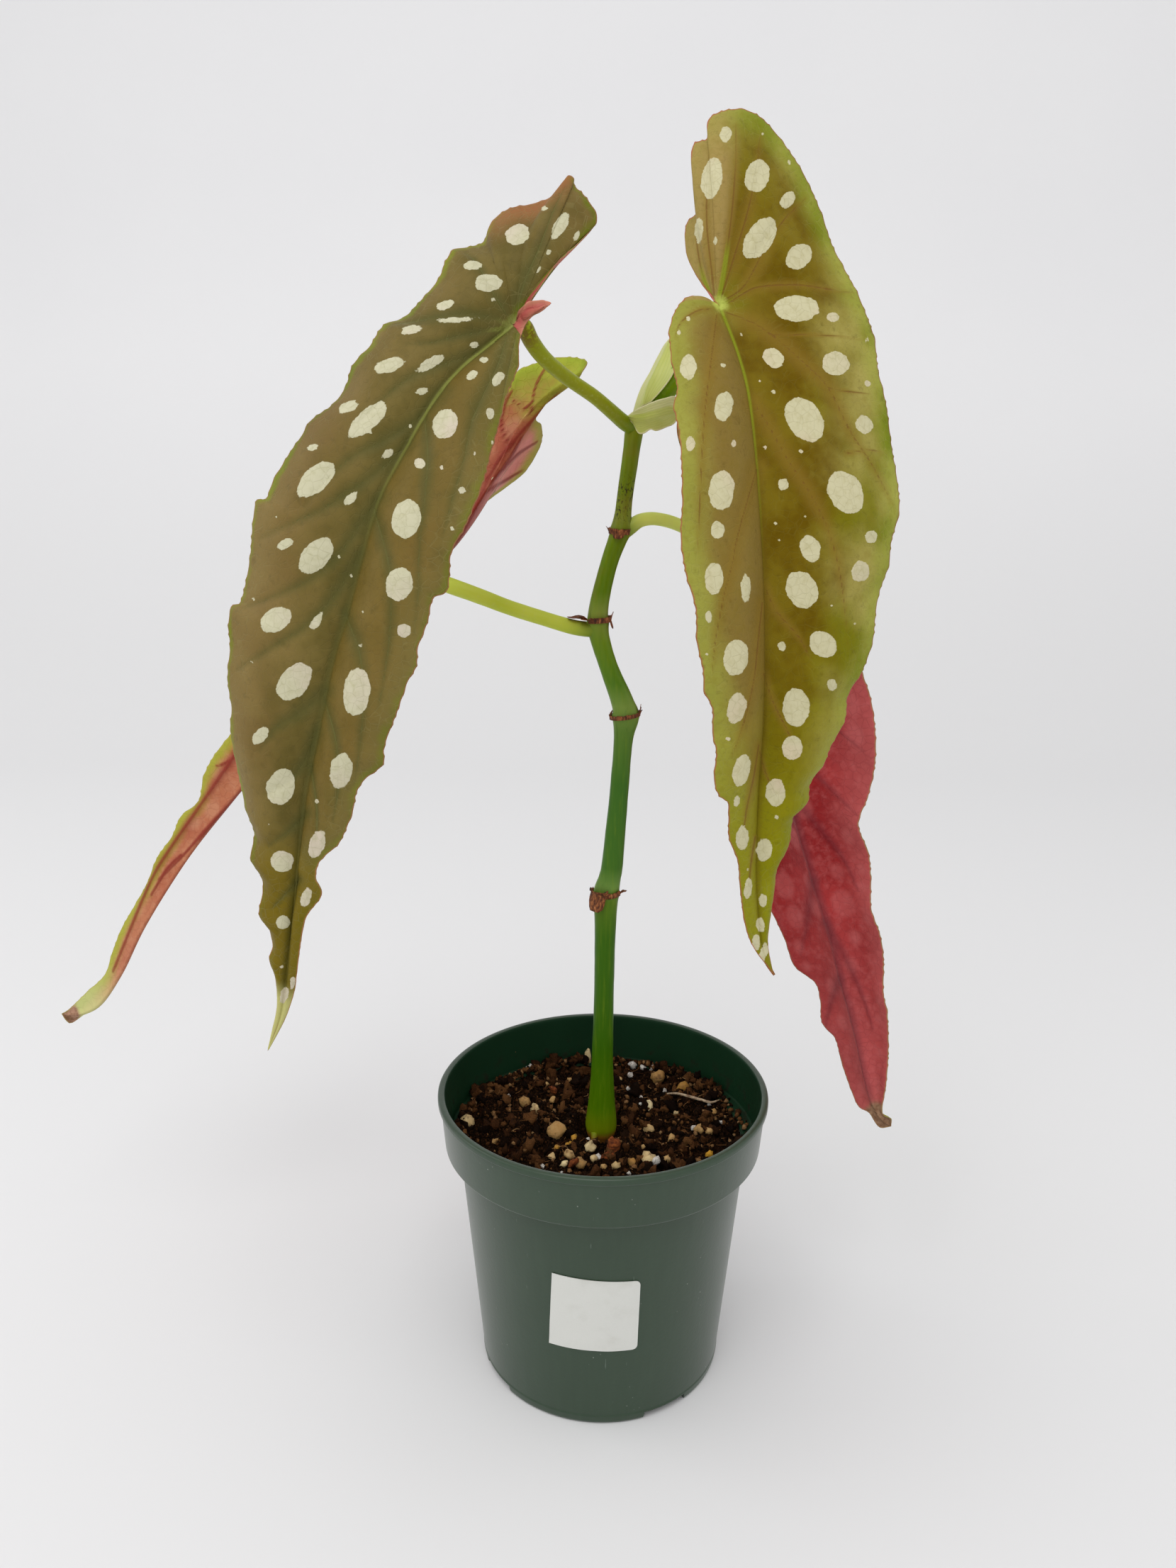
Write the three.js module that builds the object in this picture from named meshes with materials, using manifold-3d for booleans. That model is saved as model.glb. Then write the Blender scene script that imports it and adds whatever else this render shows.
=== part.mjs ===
// A polka dot begonia in a green nursery pot: one cane with four angel-wing leaves.
// Millimetres, +Z up. The origin is on the pot's axis, on the surface that the pot stands on,
// and -Y is the side that carries the label.
import * as THREE from 'three';
import { mergeVertices } from 'three/addons/utils/BufferGeometryUtils.js';
import Module from 'manifold-3d';

const wasm = await Module();
wasm.setup();

// Driving dimensions of the pot
const footRadius = 40.2;
const shoulderRadius = 47.3;
const shoulderHeight = 79.2;
const bandRadius = 52;
const rimRadius = 54;
const rimHeight = 96.9;
const wall = 1.3;
const lipHeight = 2.1;
const baseThickness = 2;
const footChamfer = 1.2;
const potSides = 48;

// Driving dimensions of the drain notches in the foot
const notchCount = 4;
const notchTurn = 32;
const notchWidth = 17;
const notchDepth = 7;
const notchHeight = 2.6;

// Driving dimensions of the label, a square sticker with its text left out
const labelSide = 27;
const labelThickness = 0.3;
const labelCentre = { turn: -2.6, height: 43.4 };
const labelTilt = 2;

// Driving dimensions of the soil
const soilLevel = 79.4;
const soilRadius = 45.4;
const clodHeight = 2.6;
const stemHoleRadius = 5.5;
const stemHoleDepth = 22;

// Gap between pieces that touch, blade thicknesses and mesh fineness
const gap = 0.3;
const bladeThickness = 0.8;
const stipuleThickness = 0.6;
const bodyRibs = 30;
const cellsAcross = 5;

// Leaf outlines, each point x, y, z. The midrib runs from the stalk to the tip; the lobe and the side
// of each half run from the stalk round its margin to the tip.
const outlineA = {
  midrib: [
    [-23, -38, 327], [-30, -43, 322], [-37, -48, 316], [-43, -53, 308], [-49, -58, 296],
    [-55, -61, 285], [-59, -63, 274], [-62, -64, 262], [-67, -65, 247], [-72, -65, 227],
    [-76, -64, 213], [-79, -63, 197], [-82, -61, 177], [-85, -60, 159], [-88, -59, 148],
    [-92, -58, 138],
  ],
  broadLobe: [
    [-22, -37, 332], [-19, -36, 335], [-14, -34, 341], [-9, -32, 347], [-6, -30, 351], [-4, -29, 353],
    [-5, -28, 356], [-8, -27, 360], [-10, -26, 362], [-12, -25, 360], [-17, -24, 358], [-22, -24, 357],
    [-26, -24, 357], [-29, -24, 355], [-31, -26, 352], [-33, -27, 348], [-36, -29, 347],
    [-40, -31, 345], [-42, -33, 342],
  ],
  broadSide: [
    [-42, -33, 342], [-43, -35, 338], [-48, -38, 332], [-52, -40, 328], [-56, -42, 326],
    [-59, -44, 321], [-63, -46, 317], [-65, -47, 312], [-68, -49, 308], [-73, -50, 304],
    [-75, -51, 300], [-79, -52, 295], [-82, -53, 289], [-84, -54, 285], [-87, -54, 284],
    [-88, -55, 278], [-89, -55, 269], [-91, -56, 260], [-94, -56, 259], [-95, -56, 254],
    [-95, -57, 249], [-96, -57, 241], [-95, -58, 234], [-96, -58, 228], [-95, -58, 220],
    [-94, -58, 213], [-93, -59, 206], [-91, -59, 201], [-92, -60, 194], [-90, -60, 190],
    [-89, -60, 186], [-91, -60, 179], [-89, -60, 175], [-88, -60, 170], [-89, -60, 166],
    [-88, -60, 160], [-88, -59, 152], [-91, -58, 143], [-92, -58, 138],
  ],
  slimLobe: [
    [-20, -39, 330], [-18, -41, 331], [-15, -43, 332], [-16, -41, 330], [-19, -40, 327],
  ],
  slimSide: [
    [-19, -40, 327], [-22, -42, 323], [-23, -48, 316], [-25, -54, 309], [-27, -58, 302],
    [-28, -62, 296], [-30, -66, 289], [-32, -69, 282], [-34, -71, 278], [-37, -72, 274],
    [-37, -72, 269], [-38, -73, 264], [-41, -73, 263], [-42, -73, 258], [-45, -73, 252],
    [-45, -73, 247], [-48, -73, 243], [-50, -73, 236], [-54, -72, 227], [-54, -72, 223],
    [-59, -71, 219], [-62, -70, 215], [-63, -69, 210], [-67, -68, 202], [-71, -67, 197],
    [-73, -66, 195], [-74, -66, 191], [-73, -65, 186], [-77, -64, 180], [-79, -63, 174],
    [-82, -61, 162], [-83, -60, 156], [-87, -59, 148], [-92, -58, 138],
  ],
};
const outlineB = {
  midrib: [
    [26, -38, 332], [31, -45, 319], [33, -51, 307], [36, -58, 285], [37, -62, 262], [38, -63, 236],
    [38, -62, 214], [38, -60, 194], [40, -58, 178], [42, -57, 167], [45, -57, 162],
  ],
  broadLobe: [
    [25, -37, 334], [22, -34, 338], [19, -29, 345], [19, -26, 352], [21, -27, 355], [21, -33, 354],
    [20, -32, 360], [19, -30, 367], [20, -29, 370], [23, -28, 372], [23, -26, 377], [27, -25, 379],
    [32, -23, 379], [37, -21, 378], [42, -20, 374], [46, -20, 368], [50, -20, 362], [54, -21, 356],
    [56, -22, 349], [59, -23, 343], [63, -25, 337],
  ],
  broadSide: [
    [63, -25, 337], [67, -27, 327], [68, -30, 317], [71, -32, 308], [72, -35, 299], [73, -38, 290],
    [73, -41, 283], [72, -43, 275], [71, -45, 270], [69, -46, 263], [68, -47, 258], [68, -48, 251],
    [65, -50, 243], [62, -51, 237], [61, -52, 231], [58, -53, 224], [56, -53, 220], [53, -54, 214],
    [52, -55, 210], [49, -55, 206], [48, -56, 198], [45, -56, 192], [44, -57, 186], [44, -57, 179],
    [43, -57, 171], [45, -57, 162],
  ],
  slimLobe: [
    [24, -39, 332], [21, -40, 334], [18, -43, 333], [15, -46, 329], [14, -50, 324],
  ],
  slimSide: [
    [14, -50, 324], [14, -55, 317], [16, -59, 311], [15, -62, 307], [16, -65, 301], [16, -69, 293],
    [17, -72, 285], [17, -74, 278], [18, -76, 269], [20, -77, 262], [21, -77, 254], [22, -77, 247],
    [23, -77, 242], [25, -76, 238], [25, -75, 232], [26, -75, 227], [26, -74, 220], [27, -73, 216],
    [30, -71, 213], [31, -69, 204], [34, -66, 197], [35, -64, 189], [36, -61, 179], [39, -59, 171],
    [45, -57, 162],
  ],
};
const outlineC = {
  midrib: [
    [-54, 8, 261], [-70, 14, 244], [-90, 20, 223], [-107, 24, 205], [-124, 27, 186], [-143, 30, 164],
    [-160, 32, 138], [-177, 34, 112], [-186, 35, 106], [-195, 36, 101],
  ],
  broadLobe: [
    [-50, 8, 266], [-47, 14, 281], [-42, 20, 297], [-36, 24, 312], [-29, 26, 321], [-26, 26, 323],
    [-21, 26, 324], [-16, 26, 325], [-12, 25, 325], [-9, 23, 325], [-7, 21, 324], [-9, 19, 320],
    [-13, 20, 317], [-18, 20, 313], [-23, 20, 308], [-21, 25, 306], [-21, 29, 302], [-22, 32, 299],
    [-27, 34, 293], [-33, 34, 287], [-39, 33, 282], [-44, 33, 278],
  ],
  broadSide: [
    [-44, 33, 278], [-51, 34, 270], [-65, 42, 257], [-84, 52, 239], [-106, 60, 218], [-126, 64, 195],
    [-145, 66, 174], [-160, 64, 154], [-173, 56, 133], [-183, 48, 114], [-191, 41, 105],
    [-195, 36, 101],
  ],
  slimLobe: [
    [-55, 8, 263], [-58, 8, 266], [-64, 10, 266], [-73, 12, 260],
  ],
  slimSide: [
    [-73, 12, 260], [-85, 16, 250], [-99, 20, 235], [-113, 24, 221], [-122, 26, 209], [-130, 28, 201],
    [-134, 29, 193], [-137, 30, 184], [-144, 31, 178], [-148, 32, 171], [-154, 33, 163],
    [-159, 34, 153], [-165, 35, 144], [-170, 36, 135], [-175, 36, 126], [-178, 36, 118],
    [-186, 36, 111], [-192, 36, 105], [-195, 36, 101],
  ],
};
const outlineD = {
  midrib: [
    [39, 22, 264], [46, 26, 241], [54, 30, 213], [64, 33, 181], [71, 34, 158], [79, 34, 136],
    [83, 34, 119], [88, 33, 104], [94, 31, 83], [97, 30, 74], [102, 30, 67],
  ],
  broadLobe: [
    [37, 22, 266], [33, 22, 276], [27, 18, 287], [21, 15, 298], [20, 15, 305], [22, 17, 310],
    [27, 21, 314], [34, 26, 315], [40, 32, 311], [41, 42, 298], [37, 50, 285], [36, 56, 271],
  ],
  broadSide: [
    [36, 56, 271], [36, 60, 254], [38, 62, 236], [42, 64, 216], [46, 64, 198], [49, 62, 180],
    [53, 59, 162], [57, 56, 150], [60, 53, 139], [66, 50, 127], [69, 48, 120], [77, 46, 114],
    [78, 45, 108], [79, 44, 99], [84, 42, 94], [87, 41, 86], [91, 36, 79], [93, 33, 72], [96, 31, 68],
    [102, 30, 67],
  ],
  slimLobe: [
    [41, 22, 266], [44, 20, 269], [51, 18, 272], [60, 17, 270], [68, 17, 262],
  ],
  slimSide: [
    [68, 17, 262], [74, 18, 249], [79, 20, 233], [84, 21, 223], [86, 22, 211], [87, 22, 201],
    [86, 23, 190], [83, 24, 181], [87, 24, 171], [89, 24, 161], [90, 25, 150], [93, 25, 142],
    [95, 26, 133], [96, 26, 119], [98, 26, 112], [100, 27, 98], [100, 28, 85], [100, 29, 74],
    [102, 30, 67],
  ],
};

// Random numbers from a seed, so that every build gives the same soil
function seeded(seed) {
  let state = seed;
  return () => {
    state = (state * 1664525 + 1013904223) % 4294967296;
    return state / 4294967296;
  };
}

const radians = THREE.MathUtils.degToRad;

// Point on a circle round the Z axis, with turn 0 at the front (-Y) and positive towards +X
function around(turn, radius, height) {
  return new THREE.Vector3(radius * Math.sin(radians(turn)), -radius * Math.cos(radians(turn)), height);
}

// Curve through hand-placed points
function curveThrough(points) {
  return new THREE.CatmullRomCurve3(points.map((p) => new THREE.Vector3(...p)), false, 'catmullrom', 0.5);
}

// A geometry from vertices and triangles, without triangles that have shrunk to a line
function geometryFrom(vertices, triangles) {
  const geometry = new THREE.BufferGeometry();
  geometry.setAttribute('position', new THREE.Float32BufferAttribute(vertices.flatMap((v) => v.toArray()), 3));
  geometry.setIndex(triangles.filter(([a, b, c]) => a !== b && b !== c && c !== a).flat());
  return geometry;
}

// A three.js geometry as a solid that can be cut and joined
function toSolid(geometry) {
  const bare = geometry.clone();
  bare.deleteAttribute('normal');
  bare.deleteAttribute('uv');
  const merged = mergeVertices(bare, 1e-4);
  const index = merged.index.array;
  const triangles = [];
  for (let i = 0; i < index.length; i += 3) {
    const [a, b, c] = [index[i], index[i + 1], index[i + 2]];
    if (a !== b && b !== c && c !== a) triangles.push(a, b, c);
  }
  return new wasm.Manifold(new wasm.Mesh({
    numProp: 3,
    vertProperties: new Float32Array(merged.attributes.position.array),
    triVerts: new Uint32Array(triangles),
  }));
}

// The largest body of a solid, back as a geometry
function toGeometry(solid) {
  const bodies = solid.decompose().sort((a, b) => b.volume() - a.volume());
  const mesh = bodies[0].getMesh();
  const geometry = new THREE.BufferGeometry();
  geometry.setAttribute('position', new THREE.Float32BufferAttribute(mesh.vertProperties, 3));
  geometry.setIndex(Array.from(mesh.triVerts));
  return geometry;
}

// What is left of a body once the bodies it must stay clear of are cut away
function cutClear(geometry, neighbours) {
  return toGeometry(neighbours.reduce((rest, other) => rest.subtract(toSolid(other)), toSolid(geometry)));
}

// A closed body through a row of rings with equal point counts, capped at both ends
function loft(rings) {
  const count = rings[0].length;
  const vertices = rings.flat();
  const triangles = [];
  for (let i = 0; i + 1 < rings.length; i += 1) {
    for (let j = 0; j < count; j += 1) {
      const a = i * count + j;
      const b = i * count + ((j + 1) % count);
      triangles.push([a, b, b + count], [a, b + count, a + count]);
    }
  }
  const last = (rings.length - 1) * count;
  for (let j = 1; j + 1 < count; j += 1) {
    triangles.push([0, j + 1, j], [last, last + j, last + j + 1]);
  }
  return geometryFrom(vertices, triangles);
}

// A round tube along a curve whose radius changes from point to point
function tube(stations, extra, steps, sides = 10) {
  const path = curveThrough(stations.map(([x, y, z]) => [x, y, z]));
  const girth = curveThrough(stations.map(([, , , radius]) => [radius, 0, 0]));
  const rings = [];
  let across = new THREE.Vector3(0, 1, 0);
  for (let i = 0; i <= steps; i += 1) {
    const along = path.getTangent(i / steps);
    across = across.sub(along.clone().multiplyScalar(across.dot(along))).normalize();
    const third = new THREE.Vector3().crossVectors(along, across);
    const radius = girth.getPoint(i / steps).x + extra;
    rings.push(Array.from({ length: sides }, (_, j) => {
      const turn = (2 * Math.PI * j) / sides;
      return path.getPoint(i / steps)
        .addScaledVector(across, radius * Math.cos(turn))
        .addScaledVector(third, radius * Math.sin(turn));
    }));
  }
  return loft(rings);
}

// One half of a blade: its ribs run from the midrib, or from the stalk for the lobe, to the margin
function halfRibs(midrib, lobe, side) {
  const ribs = [];
  const stalk = midrib[0];
  curveThrough(lobe).getPoints(lobe.length - 1).slice(0, -1).forEach((margin) => {
    ribs.push({ inner: stalk, margin, station: 0 });
  });
  curveThrough(side).getSpacedPoints(midrib.length - 1).forEach((margin, station) => {
    ribs.push({ inner: midrib[station], margin, station });
  });
  return ribs;
}

// A leaf blade: two halves that share the midrib, thickened along the surface normals
function blade(outline, thickness, bulge, ribCount = bodyRibs) {
  const midrib = curveThrough(outline.midrib).getSpacedPoints(ribCount);
  const middle = midrib.map((p) => p.clone());
  const triangles = [];
  const halves = [
    { ribs: halfRibs(midrib, outline.broadLobe, outline.broadSide), flip: false },
    { ribs: halfRibs(midrib, outline.slimLobe, outline.slimSide), flip: true },
  ];
  halves.forEach(({ ribs, flip }) => {
    const rows = ribs.map(({ inner, margin, station }, i) => {
      const before = ribs[Math.max(i - 1, 0)].margin;
      const after = ribs[Math.min(i + 1, ribs.length - 1)].margin;
      const span = margin.clone().sub(inner);
      const up = after.clone().sub(before).cross(span).normalize();
      const lift = bulge * (flip ? -1 : 1) * Math.min(1, span.length() / 20);
      const row = [station];
      for (let j = 1; j <= cellsAcross; j += 1) {
        const v = j / cellsAcross;
        if (station === ribCount) {
          row.push(ribCount);
        } else {
          row.push(middle.length);
          middle.push(inner.clone().lerp(margin, v).addScaledVector(up, lift * Math.sin(Math.PI * v)));
        }
      }
      return row;
    });
    for (let i = 0; i + 1 < rows.length; i += 1) {
      for (let j = 0; j < cellsAcross; j += 1) {
        const quad = [rows[i][j], rows[i + 1][j], rows[i + 1][j + 1], rows[i][j + 1]];
        const [a, b, c, d] = flip ? quad : quad.reverse();
        triangles.push([a, b, c], [a, c, d]);
      }
    }
  });
  return thicken(middle, triangles, thickness);
}

// A sheet of triangles made into a closed body of even thickness
function thicken(middle, triangles, thickness) {
  const real = triangles.filter(([a, b, c]) => a !== b && b !== c && c !== a);
  const normals = middle.map(() => new THREE.Vector3());
  real.forEach(([a, b, c]) => {
    const face = middle[b].clone().sub(middle[a]).cross(middle[c].clone().sub(middle[a]));
    [a, b, c].forEach((i) => normals[i].add(face));
  });
  normals.forEach((n) => n.normalize().multiplyScalar(thickness / 2));
  const count = middle.length;
  const vertices = [
    ...middle.map((p, i) => p.clone().add(normals[i])),
    ...middle.map((p, i) => p.clone().sub(normals[i])),
  ];
  const body = real.flatMap(([a, b, c]) => [[a, b, c], [c + count, b + count, a + count]]);
  const edges = new Map();
  real.forEach(([a, b, c]) => [[a, b], [b, c], [c, a]].forEach(([p, q]) => {
    if (!edges.delete(`${q} ${p}`)) edges.set(`${p} ${q}`, [p, q]);
  }));
  edges.forEach(([p, q]) => body.push([q, p, p + count], [q, p + count, q + count]));
  return geometryFrom(vertices, body);
}

const plant = new THREE.Group();
plant.name = 'potted_polka_dot_begonia';

function add(name, geometry, colour, roughness) {
  const material = new THREE.MeshStandardMaterial({ color: colour, roughness, metalness: 0 });
  const mesh = new THREE.Mesh(geometry, material);
  mesh.name = name;
  plant.add(mesh);
}

// Nursery pot: a tapered wall, a wider band under the rim, a bead on the lip and a flat base
function potGeometry() {
  const seat = shoulderHeight + wall;
  const lipBottom = rimHeight - lipHeight;
  const profile = [
    [0, 0],
    [footRadius - footChamfer, 0],
    [footRadius, footChamfer],
    [shoulderRadius, shoulderHeight],
    [bandRadius - 0.4, shoulderHeight],
    [bandRadius, shoulderHeight + 0.6],
    [rimRadius - 0.9, lipBottom - 0.4],
    [rimRadius - 0.1, lipBottom],
    [rimRadius, rimHeight - 0.9],
    [rimRadius - 0.7, rimHeight],
    [rimRadius - 1.9, rimHeight],
    [rimRadius - 2.4, rimHeight - 0.8],
    [bandRadius - wall - 0.2, seat + 0.5],
    [bandRadius - wall - 0.6, seat],
    [shoulderRadius - wall + 0.4, seat],
    [shoulderRadius - wall, shoulderHeight - 0.6],
    [footRadius - wall + 0.4, baseThickness + 1],
    [footRadius - wall - 0.6, baseThickness],
    [0, baseThickness],
  ];
  const shell = new THREE.LatheGeometry(profile.map(([r, z]) => new THREE.Vector2(r, z)), potSides);
  shell.rotateX(Math.PI / 2);
  const notches = Array.from({ length: notchCount }, (_, i) => {
    const turn = notchTurn + (360 * i) / notchCount;
    const box = new THREE.BoxGeometry(notchWidth, notchDepth, notchHeight * 2);
    box.rotateZ(radians(turn));
    const place = around(turn, footRadius - notchDepth / 2 + 1.4, 0);
    return box.translate(place.x, place.y, place.z);
  });
  return cutClear(shell, notches);
}

// Label: a thin square sheet that follows the pot's wall
function labelGeometry() {
  const wallRadius = (z) => footRadius + ((shoulderRadius - footRadius) * z) / shoulderHeight;
  const steps = 10;
  const rings = Array.from({ length: steps + 1 }, (_, i) => {
    const s = (i / steps - 0.5) * labelSide;
    return [[-1, 0], [1, 0], [1, 1], [-1, 1]].map(([end, face]) => {
      const t = (end * labelSide) / 2;
      const tilt = radians(labelTilt);
      const height = labelCentre.height + t * Math.cos(tilt) - s * Math.sin(tilt);
      const radius = wallRadius(height) + gap + face * labelThickness;
      const slide = s * Math.cos(tilt) + t * Math.sin(tilt);
      const turn = labelCentre.turn + THREE.MathUtils.radToDeg(slide / wallRadius(height));
      return around(turn, radius, height);
    });
  });
  return loft(rings);
}

// Soil: filled to just under the pot's ledge, its top broken into clods, with stones half sunk in it
function soilGeometry() {
  const random = seeded(7);
  const clods = Array.from({ length: 90 }, () => {
    const reach = soilRadius * Math.sqrt(random());
    const turn = 2 * Math.PI * random();
    return { x: reach * Math.cos(turn), y: reach * Math.sin(turn), size: 2.5 + 4 * random(), rise: random() - 0.35 };
  });
  const height = (x, y) => clods.reduce((sum, clod) => {
    const distance = Math.hypot(x - clod.x, y - clod.y) / clod.size;
    return sum + clodHeight * clod.rise * Math.exp(-distance * distance);
  }, soilLevel);
  const bottom = soilLevel - stemHoleDepth;
  const footInside = footRadius - wall - 0.6 - gap;
  const profile = [[0, baseThickness + gap], [footInside, baseThickness + gap]];
  profile.push([footInside + 0.8, baseThickness + 1 + gap], [soilRadius, soilLevel - 3]);
  const topRings = 11;
  for (let i = 0; i <= topRings; i += 1) {
    profile.push([soilRadius + ((stemHoleRadius - soilRadius) * i) / topRings, soilLevel]);
  }
  profile.push([stemHoleRadius, bottom], [0, bottom]);
  const body = new THREE.LatheGeometry(profile.map(([r, z]) => new THREE.Vector2(r, z)), 44);
  body.rotateX(Math.PI / 2);
  const place = body.attributes.position;
  for (let i = 0; i < place.count; i += 1) {
    if (Math.abs(place.getZ(i) - soilLevel) < 0.01) {
      place.setZ(i, Math.min(height(place.getX(i), place.getY(i)), soilLevel + 3.4));
    }
  }
  const stones = Array.from({ length: 34 }, () => {
    const reach = 8 + (soilRadius - 12) * Math.sqrt(random());
    const turn = 2 * Math.PI * random();
    const size = 1.1 + 1.3 * random();
    const stone = new THREE.IcosahedronGeometry(size, 0);
    stone.rotateX(3 * random());
    stone.scale(1, 0.7 + 0.5 * random(), 0.8);
    const [x, y] = [reach * Math.cos(turn), reach * Math.sin(turn)];
    return toSolid(stone.translate(x, y, height(x, y) + size * 0.2));
  });
  return toGeometry(stones.reduce((rest, stone) => rest.add(stone), toSolid(body)));
}

// Cane: x, y, z and radius at each station, swollen at the nodes and flared into the soil
const cane = [
  [-0.4, 0, 60, 3.6], [-0.4, 0, 76, 4.0], [-0.4, 0, 80.5, 4.9], [-0.4, 0, 84, 5.1], [-0.3, 0, 93, 4.2],
  [-0.2, 0, 110, 3.4], [0.1, 0, 137, 3.2], [0.2, 0, 156, 3.5], [0.3, 0, 163.4, 4.1], [1.4, 0, 169, 3.5],
  [2.2, 0, 174, 3.3], [3.9, 0, 196, 2.9], [5, 0, 213, 2.9], [5.6, 0, 220.5, 4.1], [4.6, 0, 225, 3.4],
  [0.6, 0, 235, 2.8], [-2.2, 0, 243.5, 2.9], [-3, 0, 248.5, 3.2], [-2.6, 0, 255, 2.8], [0, 0, 266, 2.5],
  [2.2, 0, 272.5, 2.7], [3.6, 0, 276.5, 3.1], [4, 0, 281, 2.4], [4.9, 0, 289, 2.3], [6.1, 0, 298, 2.4],
  [6.8, 0, 303.5, 2.6], [7, 0, 306, 2.0],
];
const caneGeometry = (extra) => tube(cane, extra, 58, 12);

// Dry collar: the torn remains of a bud scale round the cane, open on the petiole's side
function collarGeometry({ centre, radius, from, to, height, lean }) {
  const random = seeded(Math.round(centre[2]));
  const steps = 14;
  const rings = Array.from({ length: steps + 1 }, (_, i) => {
    const turn = from + ((to - from) * i) / steps;
    const inside = radius + gap;
    const outside = inside + 0.7 + 0.5 * random();
    const top = height * (0.55 + 0.75 * random());
    return [[inside, top], [outside + 0.2, top], [outside, -0.5], [inside, -0.4]].map(([reach, rise]) => {
      const point = around(turn, reach, rise);
      point.z += lean * point.x;
      return point.add(new THREE.Vector3(...centre));
    });
  });
  return loft(rings);
}
const collars = [
  { centre: [0.3, 0, 164], radius: 4.2, from: -130, to: 75, height: 2, lean: 0.05 },
  { centre: [5.4, 0, 221], radius: 4.2, from: -150, to: 150, height: 1.2, lean: 0.14 },
  { centre: [-2.9, 0, 249.6], radius: 3.1, from: -30, to: 210, height: 1.1, lean: 0.05 },
  { centre: [3.4, 0, 275.2], radius: 3.1, from: -160, to: 45, height: 1.4, lean: -0.05 },
];

// Petioles, from their node on the cane to the back of their blade
const petioles = {
  a: [
    [6.5, 0, 304.5, 2.3], [4, -3, 305.5, 2.1], [-4, -13, 311.5, 1.9], [-11.5, -21, 316, 1.9],
    [-17, -29, 320, 2], [-20, -34, 323.5, 2.1], [-21.5, -37, 326.5, 2.1], [-22.5, -38, 327.5, 1.9],
  ],
  b: [
    [8, 0, 305, 2.3], [10.5, -4, 309, 2.1], [15, -13, 314.5, 2], [20, -25, 321.5, 2],
    [24, -34, 328.5, 2], [26, -38, 331.5, 1.8],
  ],
  c: [
    [-2, 0, 247, 2.4], [-6.5, -0.5, 247, 2.3], [-12, -1, 248, 2.2], [-20.5, -1, 250.5, 2.3],
    [-29, 0, 253, 2.5], [-37.5, 1, 256, 2.7], [-44, 3, 258, 2.7], [-49.5, 6, 259.5, 2.5],
    [-53, 7.5, 260.5, 2],
  ],
  d: [
    [3.5, 0, 274.5, 2.1], [6, 0, 276.5, 2.1], [9, 1, 278.5, 2], [13, 3, 279, 1.9], [18, 6, 278, 1.9],
    [24, 10, 275.5, 1.9], [30.5, 15, 271.5, 1.9], [36, 19, 266.5, 1.8], [39.5, 22, 264, 1.7],
  ],
};

// Two stipules that wrap the growing tip, boat-shaped like small blades
const stipules = {
  upper: {
    midrib: [[7, -4, 308.5], [10.5, -5, 315], [14, -6.5, 321], [17.5, -7.5, 328.5]],
    broadLobe: [[8.5, -5, 309], [9.5, -5.5, 310]],
    broadSide: [[9.5, -5.5, 310], [12, -7, 312], [16.5, -9, 318], [19, -9.5, 323], [17.5, -7.5, 328.5]],
    slimLobe: [[6.5, -3, 308], [6.5, -2.5, 309.5]],
    slimSide: [[6.5, -2.5, 309.5], [8.5, -3, 314.5], [10.5, -3.5, 318.5], [15.5, -6.5, 327.5], [17.5, -7.5, 328.5]],
  },
  lower: {
    midrib: [[6.5, -4.5, 306.5], [12, -8, 308], [20.5, -12, 309.5]],
    broadLobe: [[6, -4, 304.5], [7.5, -5, 303]],
    broadSide: [[7.5, -5, 303], [9.5, -5.5, 302], [13, -7.5, 303], [17.5, -10, 304.5], [20.5, -12, 309.5]],
    slimLobe: [[5.5, -3.5, 306.5], [5, -3.5, 307.5]],
    slimSide: [[5, -3.5, 307.5], [7, -4, 309], [11, -6.5, 311], [16.5, -9.5, 312], [20.5, -12, 309.5]],
  },
};

const outlines = { a: outlineA, b: outlineB, c: outlineC, d: outlineD };
const bulges = { a: -4, b: 3.5, c: 0.6, d: 2.5 };
const bladeGeometry = (key, extra) => blade(outlines[key], bladeThickness + 2 * extra, bulges[key]);
const petioleGeometry = (key, extra) => tube(petioles[key], extra, 14, 8);
const stipuleGeometry = (key, extra) => blade(stipules[key], stipuleThickness + 2 * extra, 0.8, 8);

add('pot', potGeometry(), 0x41503f, 0.45);
add('label', labelGeometry(), 0xf2f2ef, 0.6);
add('soil', soilGeometry(), 0x3a2618, 0.95);
add('cane', caneGeometry(0), 0x5f7d1e, 0.5);

collars.forEach((collar, i) => add(`dry_collar_${i + 1}`, collarGeometry(collar), 0x6e3d1c, 0.9));

Object.keys(petioles).forEach((key) => {
  const neighbours = [caneGeometry(gap), bladeGeometry(key, gap)];
  if (key === 'b') neighbours.push(petioleGeometry('a', gap));
  add(`petiole_${key}`, cutClear(petioleGeometry(key, 0), neighbours), 0x9aa63c, 0.45);
});

Object.keys(stipules).forEach((key) => {
  const neighbours = [caneGeometry(gap), petioleGeometry('a', gap), petioleGeometry('b', gap)];
  if (key === 'lower') neighbours.push(stipuleGeometry('upper', gap));
  add(`stipule_${key}`, cutClear(stipuleGeometry(key, 0), neighbours), 0xb4c47a, 0.5);
});

Object.keys(outlines).forEach((key) => add(`leaf_${key}`, bladeGeometry(key, 0), 0x6f6a2c, 0.4));

export default plant;
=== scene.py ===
# A polka dot begonia in a green nursery pot: one zigzag cane with four angel-wing leaves.
# Metres, +Z up, origin on the pot's axis where it stands; -Y is the side that carries the label.
import math
import random
import bmesh
import bpy
import numpy as np
from mathutils import Euler, Matrix, Vector, kdtree, noise


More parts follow.
